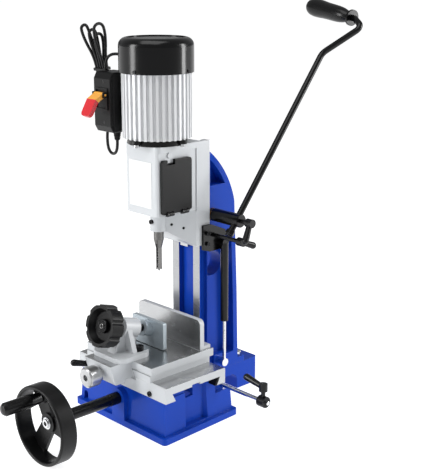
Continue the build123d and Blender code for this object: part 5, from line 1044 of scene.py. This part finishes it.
@dataclass(frozen=True)
class Cords(SubAssembly):
    """Supply cord with its hank, and the motor's lead.

    Attributes:
        routes: The cords.
        body: Moving body that they ride on.
        order: Order of their splines, for a smooth line.
        steps: Divisions of a spline between two corners.
        round_steps: Divisions of a quarter of the section.
    """

    routes: tuple[CordRoute, ...] = (
        CordRoute(
            "MainsLead", MAINS_CORNERS, 1532.6, 5.6, FarEnd.PLUG, Lay.HANK, ("supply_cord", "cord_hank"),
            ("cord_glands", "plug"),
        ),
        CordRoute("MotorLead", LEAD_CORNERS, 60.2, 5.5, FarEnd.MACHINE, Lay.SHORT_LEAD, ("motor_lead",)),
    )
    body: str = "head"
    order: int = 3
    steps: int = 12
    round_steps: int = 5

    NODES = {CORD_RUBBER: ("supply_cord", "cord_hank", "motor_lead")}

    def line(self, route: CordRoute) -> bpy.types.Object:
        """Makes a cord as one smooth line that its corners draw.

        Args:
            route: The cord.

        Returns:
            The new curve object.
        """
        curve = bpy.data.curves.new(route.name, "CURVE")
        curve.dimensions = "3D"
        curve.bevel_depth = route.diameter_mm * MM / 2
        curve.bevel_resolution = self.round_steps
        curve.resolution_u = self.steps
        curve.use_fill_caps = True
        spline = curve.splines.new("NURBS")
        spline.points.add(len(route.corners_mm) - 1)
        weighted = np.column_stack((np.array(route.corners_mm) * MM, np.ones(len(route.corners_mm))))
        spline.points.foreach_set("co", weighted.ravel())
        spline.order_u = self.order
        spline.use_endpoint_u = True
        piece = bpy.data.objects.new(route.name, curve)
        bpy.context.scene.collection.objects.link(piece)
        return piece

    def build(self, shop: MaterialShop) -> list[bpy.types.Object]:
        """Lays each cord and dresses the solids that it takes the place of.

        Args:
            shop: Source of the materials.

        Returns:
            The hidden solids and the cords.
        """
        pieces = super().build(shop)
        for route in self.routes:
            piece = self.line(route)
            shop.dress(piece, CORD_RUBBER)
            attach(piece, self.body)
            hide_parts(*route.stands_for)
            pieces.append(piece)
        return pieces


@dataclass(frozen=True)
class Lamp:
    """One soft light.

    Attributes:
        name: Name of the light.
        place: Position in metres.
        aim: Point that it faces.
        width: Width in metres.
        height: Height in metres.
        power: Power in watts.
    """

    name: str
    place: Triple
    aim: Triple
    width: float
    height: float
    power: float


@dataclass(frozen=True)
class Studio:
    """Camera, floor and lights, in metres.

    The floor and the bench glow to a plain white near the camera's view and fade towards the front, so that less of
    them is mirrored in the machine.

    Attributes:
        camera_place: Where the photograph was taken from.
        camera_turn: Turn of the camera about the upright, in degrees.
        camera_pitch: Its tilt from level, in degrees.
        camera_reach: How far it sees.
        lens_mm: Length of its lens.
        sensor_mm: Width of its sensor.
        floor_drop: How far the floor lies under the base's foot, just below the hanging wheel.
        floor_reach: Half the floor's side.
        bench_front: Depth of the bench's front edge, which the wheel hangs over.
        bench_reach: How far the bench goes to each side and back.
        bench_gap: Gap between the bench and the base's foot, so that they aren't drawn in one plane.
        floor_colour: Colour of both, as sRGB hex.
        floor_roughness: Roughness of both.
        near_glow: Strength of their glow near the machine.
        far_glow: Strength of their glow in front of the camera.
        glow_ahead: Direction from the machine towards the camera.
        glow_until: Distance that way where the glow starts to fade.
        glow_gone: Distance where it has faded.
        sky: Colour of the room, as sRGB hex.
        sky_strength: Its strength.
        lamps: The soft lights.
    """

    camera_place: Triple = (1.377, -1.172, 0.830)
    camera_turn: float = 46.25
    camera_pitch: float = -14.96
    camera_reach: float = 40.0
    lens_mm: float = 77.6
    sensor_mm: float = 36.0
    floor_drop: float = 0.0215
    floor_reach: float = 60.0
    bench_front: float = -0.112
    bench_reach: float = 50.0
    bench_gap: float = 0.0002
    floor_colour: str = "C4C5C6"
    floor_roughness: float = 0.7
    near_glow: float = 0.82
    far_glow: float = 0.28
    glow_ahead: Triple = (0.722, -0.692, 0.0)
    glow_until: float = 0.75
    glow_gone: float = 2.20
    sky: str = "F4F5F6"
    sky_strength: float = 0.38
    lamps: tuple[Lamp, ...] = (
        Lamp("LeftSoftbox", (-0.83, -1.77, 0.90), (0.0, 0.0, 0.45), 0.55, 1.50, 28.0),
        Lamp("RightSoftbox", (1.27, 1.47, 0.90), (0.0, 0.0, 0.45), 0.42, 1.40, 24.0),
        Lamp("TopSoftbox", (0.25, -0.55, 2.40), (0.0, 0.0, 0.30), 1.60, 1.60, 20.0),
    )

    def camera(self) -> None:
        """Creates the camera where the photograph was taken from."""
        data = bpy.data.cameras.new("PhotoCamera")
        data.lens = self.lens_mm
        data.sensor_width = self.sensor_mm
        data.sensor_fit = "AUTO"
        data.clip_end = self.camera_reach
        camera = bpy.data.objects.new("PhotoCamera", data)
        camera.location = self.camera_place
        camera.rotation_euler = (math.radians(90 + self.camera_pitch), 0.0, math.radians(self.camera_turn))
        bpy.context.scene.collection.objects.link(camera)
        bpy.context.scene.camera = camera

    def sweep(self) -> bpy.types.Material:
        """Makes the pale glowing material of floor and bench.

        Returns:
            The material.
        """
        shader = Shader("PaleSweep")
        ahead = shader.add(
            "ShaderNodeVectorMath", {0: shader.place["Object"], 1: self.glow_ahead}, operation="DOT_PRODUCT",
        ).outputs["Value"]
        fade = shader.add("ShaderNodeMapRange", {
            "Value": ahead,
            "From Min": self.glow_until,
            "From Max": self.glow_gone,
            "To Min": self.near_glow,
            "To Max": self.far_glow,
        })
        shader.feed(shader.surface, {
            "Base Color": linear(self.floor_colour),
            "Roughness": self.floor_roughness,
            "Emission Color": linear("FFFFFF"),
            "Emission Strength": fade,
        })
        return shader.material

    def floor(self) -> None:
        """Lays the pale floor, and the pale bench whose edge the handwheel hangs over."""
        reach, low = self.floor_reach, -self.floor_drop
        corners = [(-reach, -reach, low), (reach, -reach, low), (reach, reach, low), (-reach, reach, low)]
        floor = make_mesh("PaleFloor", corners, [(0, 1, 2, 3)])
        far, front = self.bench_reach, self.bench_front
        outline = ((-far, front), (far, front), (far, far), (-far, far))
        block = [(x, y, z) for z in (low, -self.bench_gap) for x, y in outline]
        bench = make_mesh("PaleBench", block, [(4, 5, 6, 7), (0, 1, 5, 4), (1, 2, 6, 5), (2, 3, 7, 6), (3, 0, 4, 7)])
        material = self.sweep()
        for piece in (floor, bench):
            piece.data.materials.append(material)

    def lights(self) -> None:
        """Adds the sky and the soft lights."""
        world = bpy.data.worlds.new("PaleRoom")
        world.use_nodes = True
        background = world.node_tree.nodes["Background"]
        background.inputs["Color"].default_value = linear(self.sky)
        background.inputs["Strength"].default_value = self.sky_strength
        bpy.context.scene.world = world
        for lamp in self.lamps:
            data = bpy.data.lights.new(lamp.name, "AREA")
            data.shape = "RECTANGLE"
            data.size = lamp.width
            data.size_y = lamp.height
            data.energy = lamp.power
            light = bpy.data.objects.new(lamp.name, data)
            light.location = lamp.place
            toward = Vector(lamp.aim) - Vector(lamp.place)
            light.rotation_euler = toward.to_track_quat("-Z", "Y").to_euler()
            bpy.context.scene.collection.objects.link(light)

    def build(self) -> None:
        """Sets up the whole studio, shown in plain sRGB so that white and black stay so."""
        bpy.context.scene.view_settings.view_transform = "Standard"
        self.camera()
        self.floor()
        self.lights()


SUB_ASSEMBLIES = (Cords, Switch, Head, MotorAndTool, PullLever, WorkClamp, CrossSlide, WheelFeed, BaseAndColumn)


def main() -> None:
    """Builds the studio and each sub-assembly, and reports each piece."""
    logging.basicConfig(level=logging.INFO)
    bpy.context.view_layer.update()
    Studio().build()
    shop = MaterialShop()
    for sub_assembly in SUB_ASSEMBLIES:
        for piece in sub_assembly().build(shop):
            LOG.info("%s: %s in %s", sub_assembly.__name__, piece.name, piece.data.materials[0].name)
    bpy.context.view_layer.update()


if __name__ == "__main__":
    main()
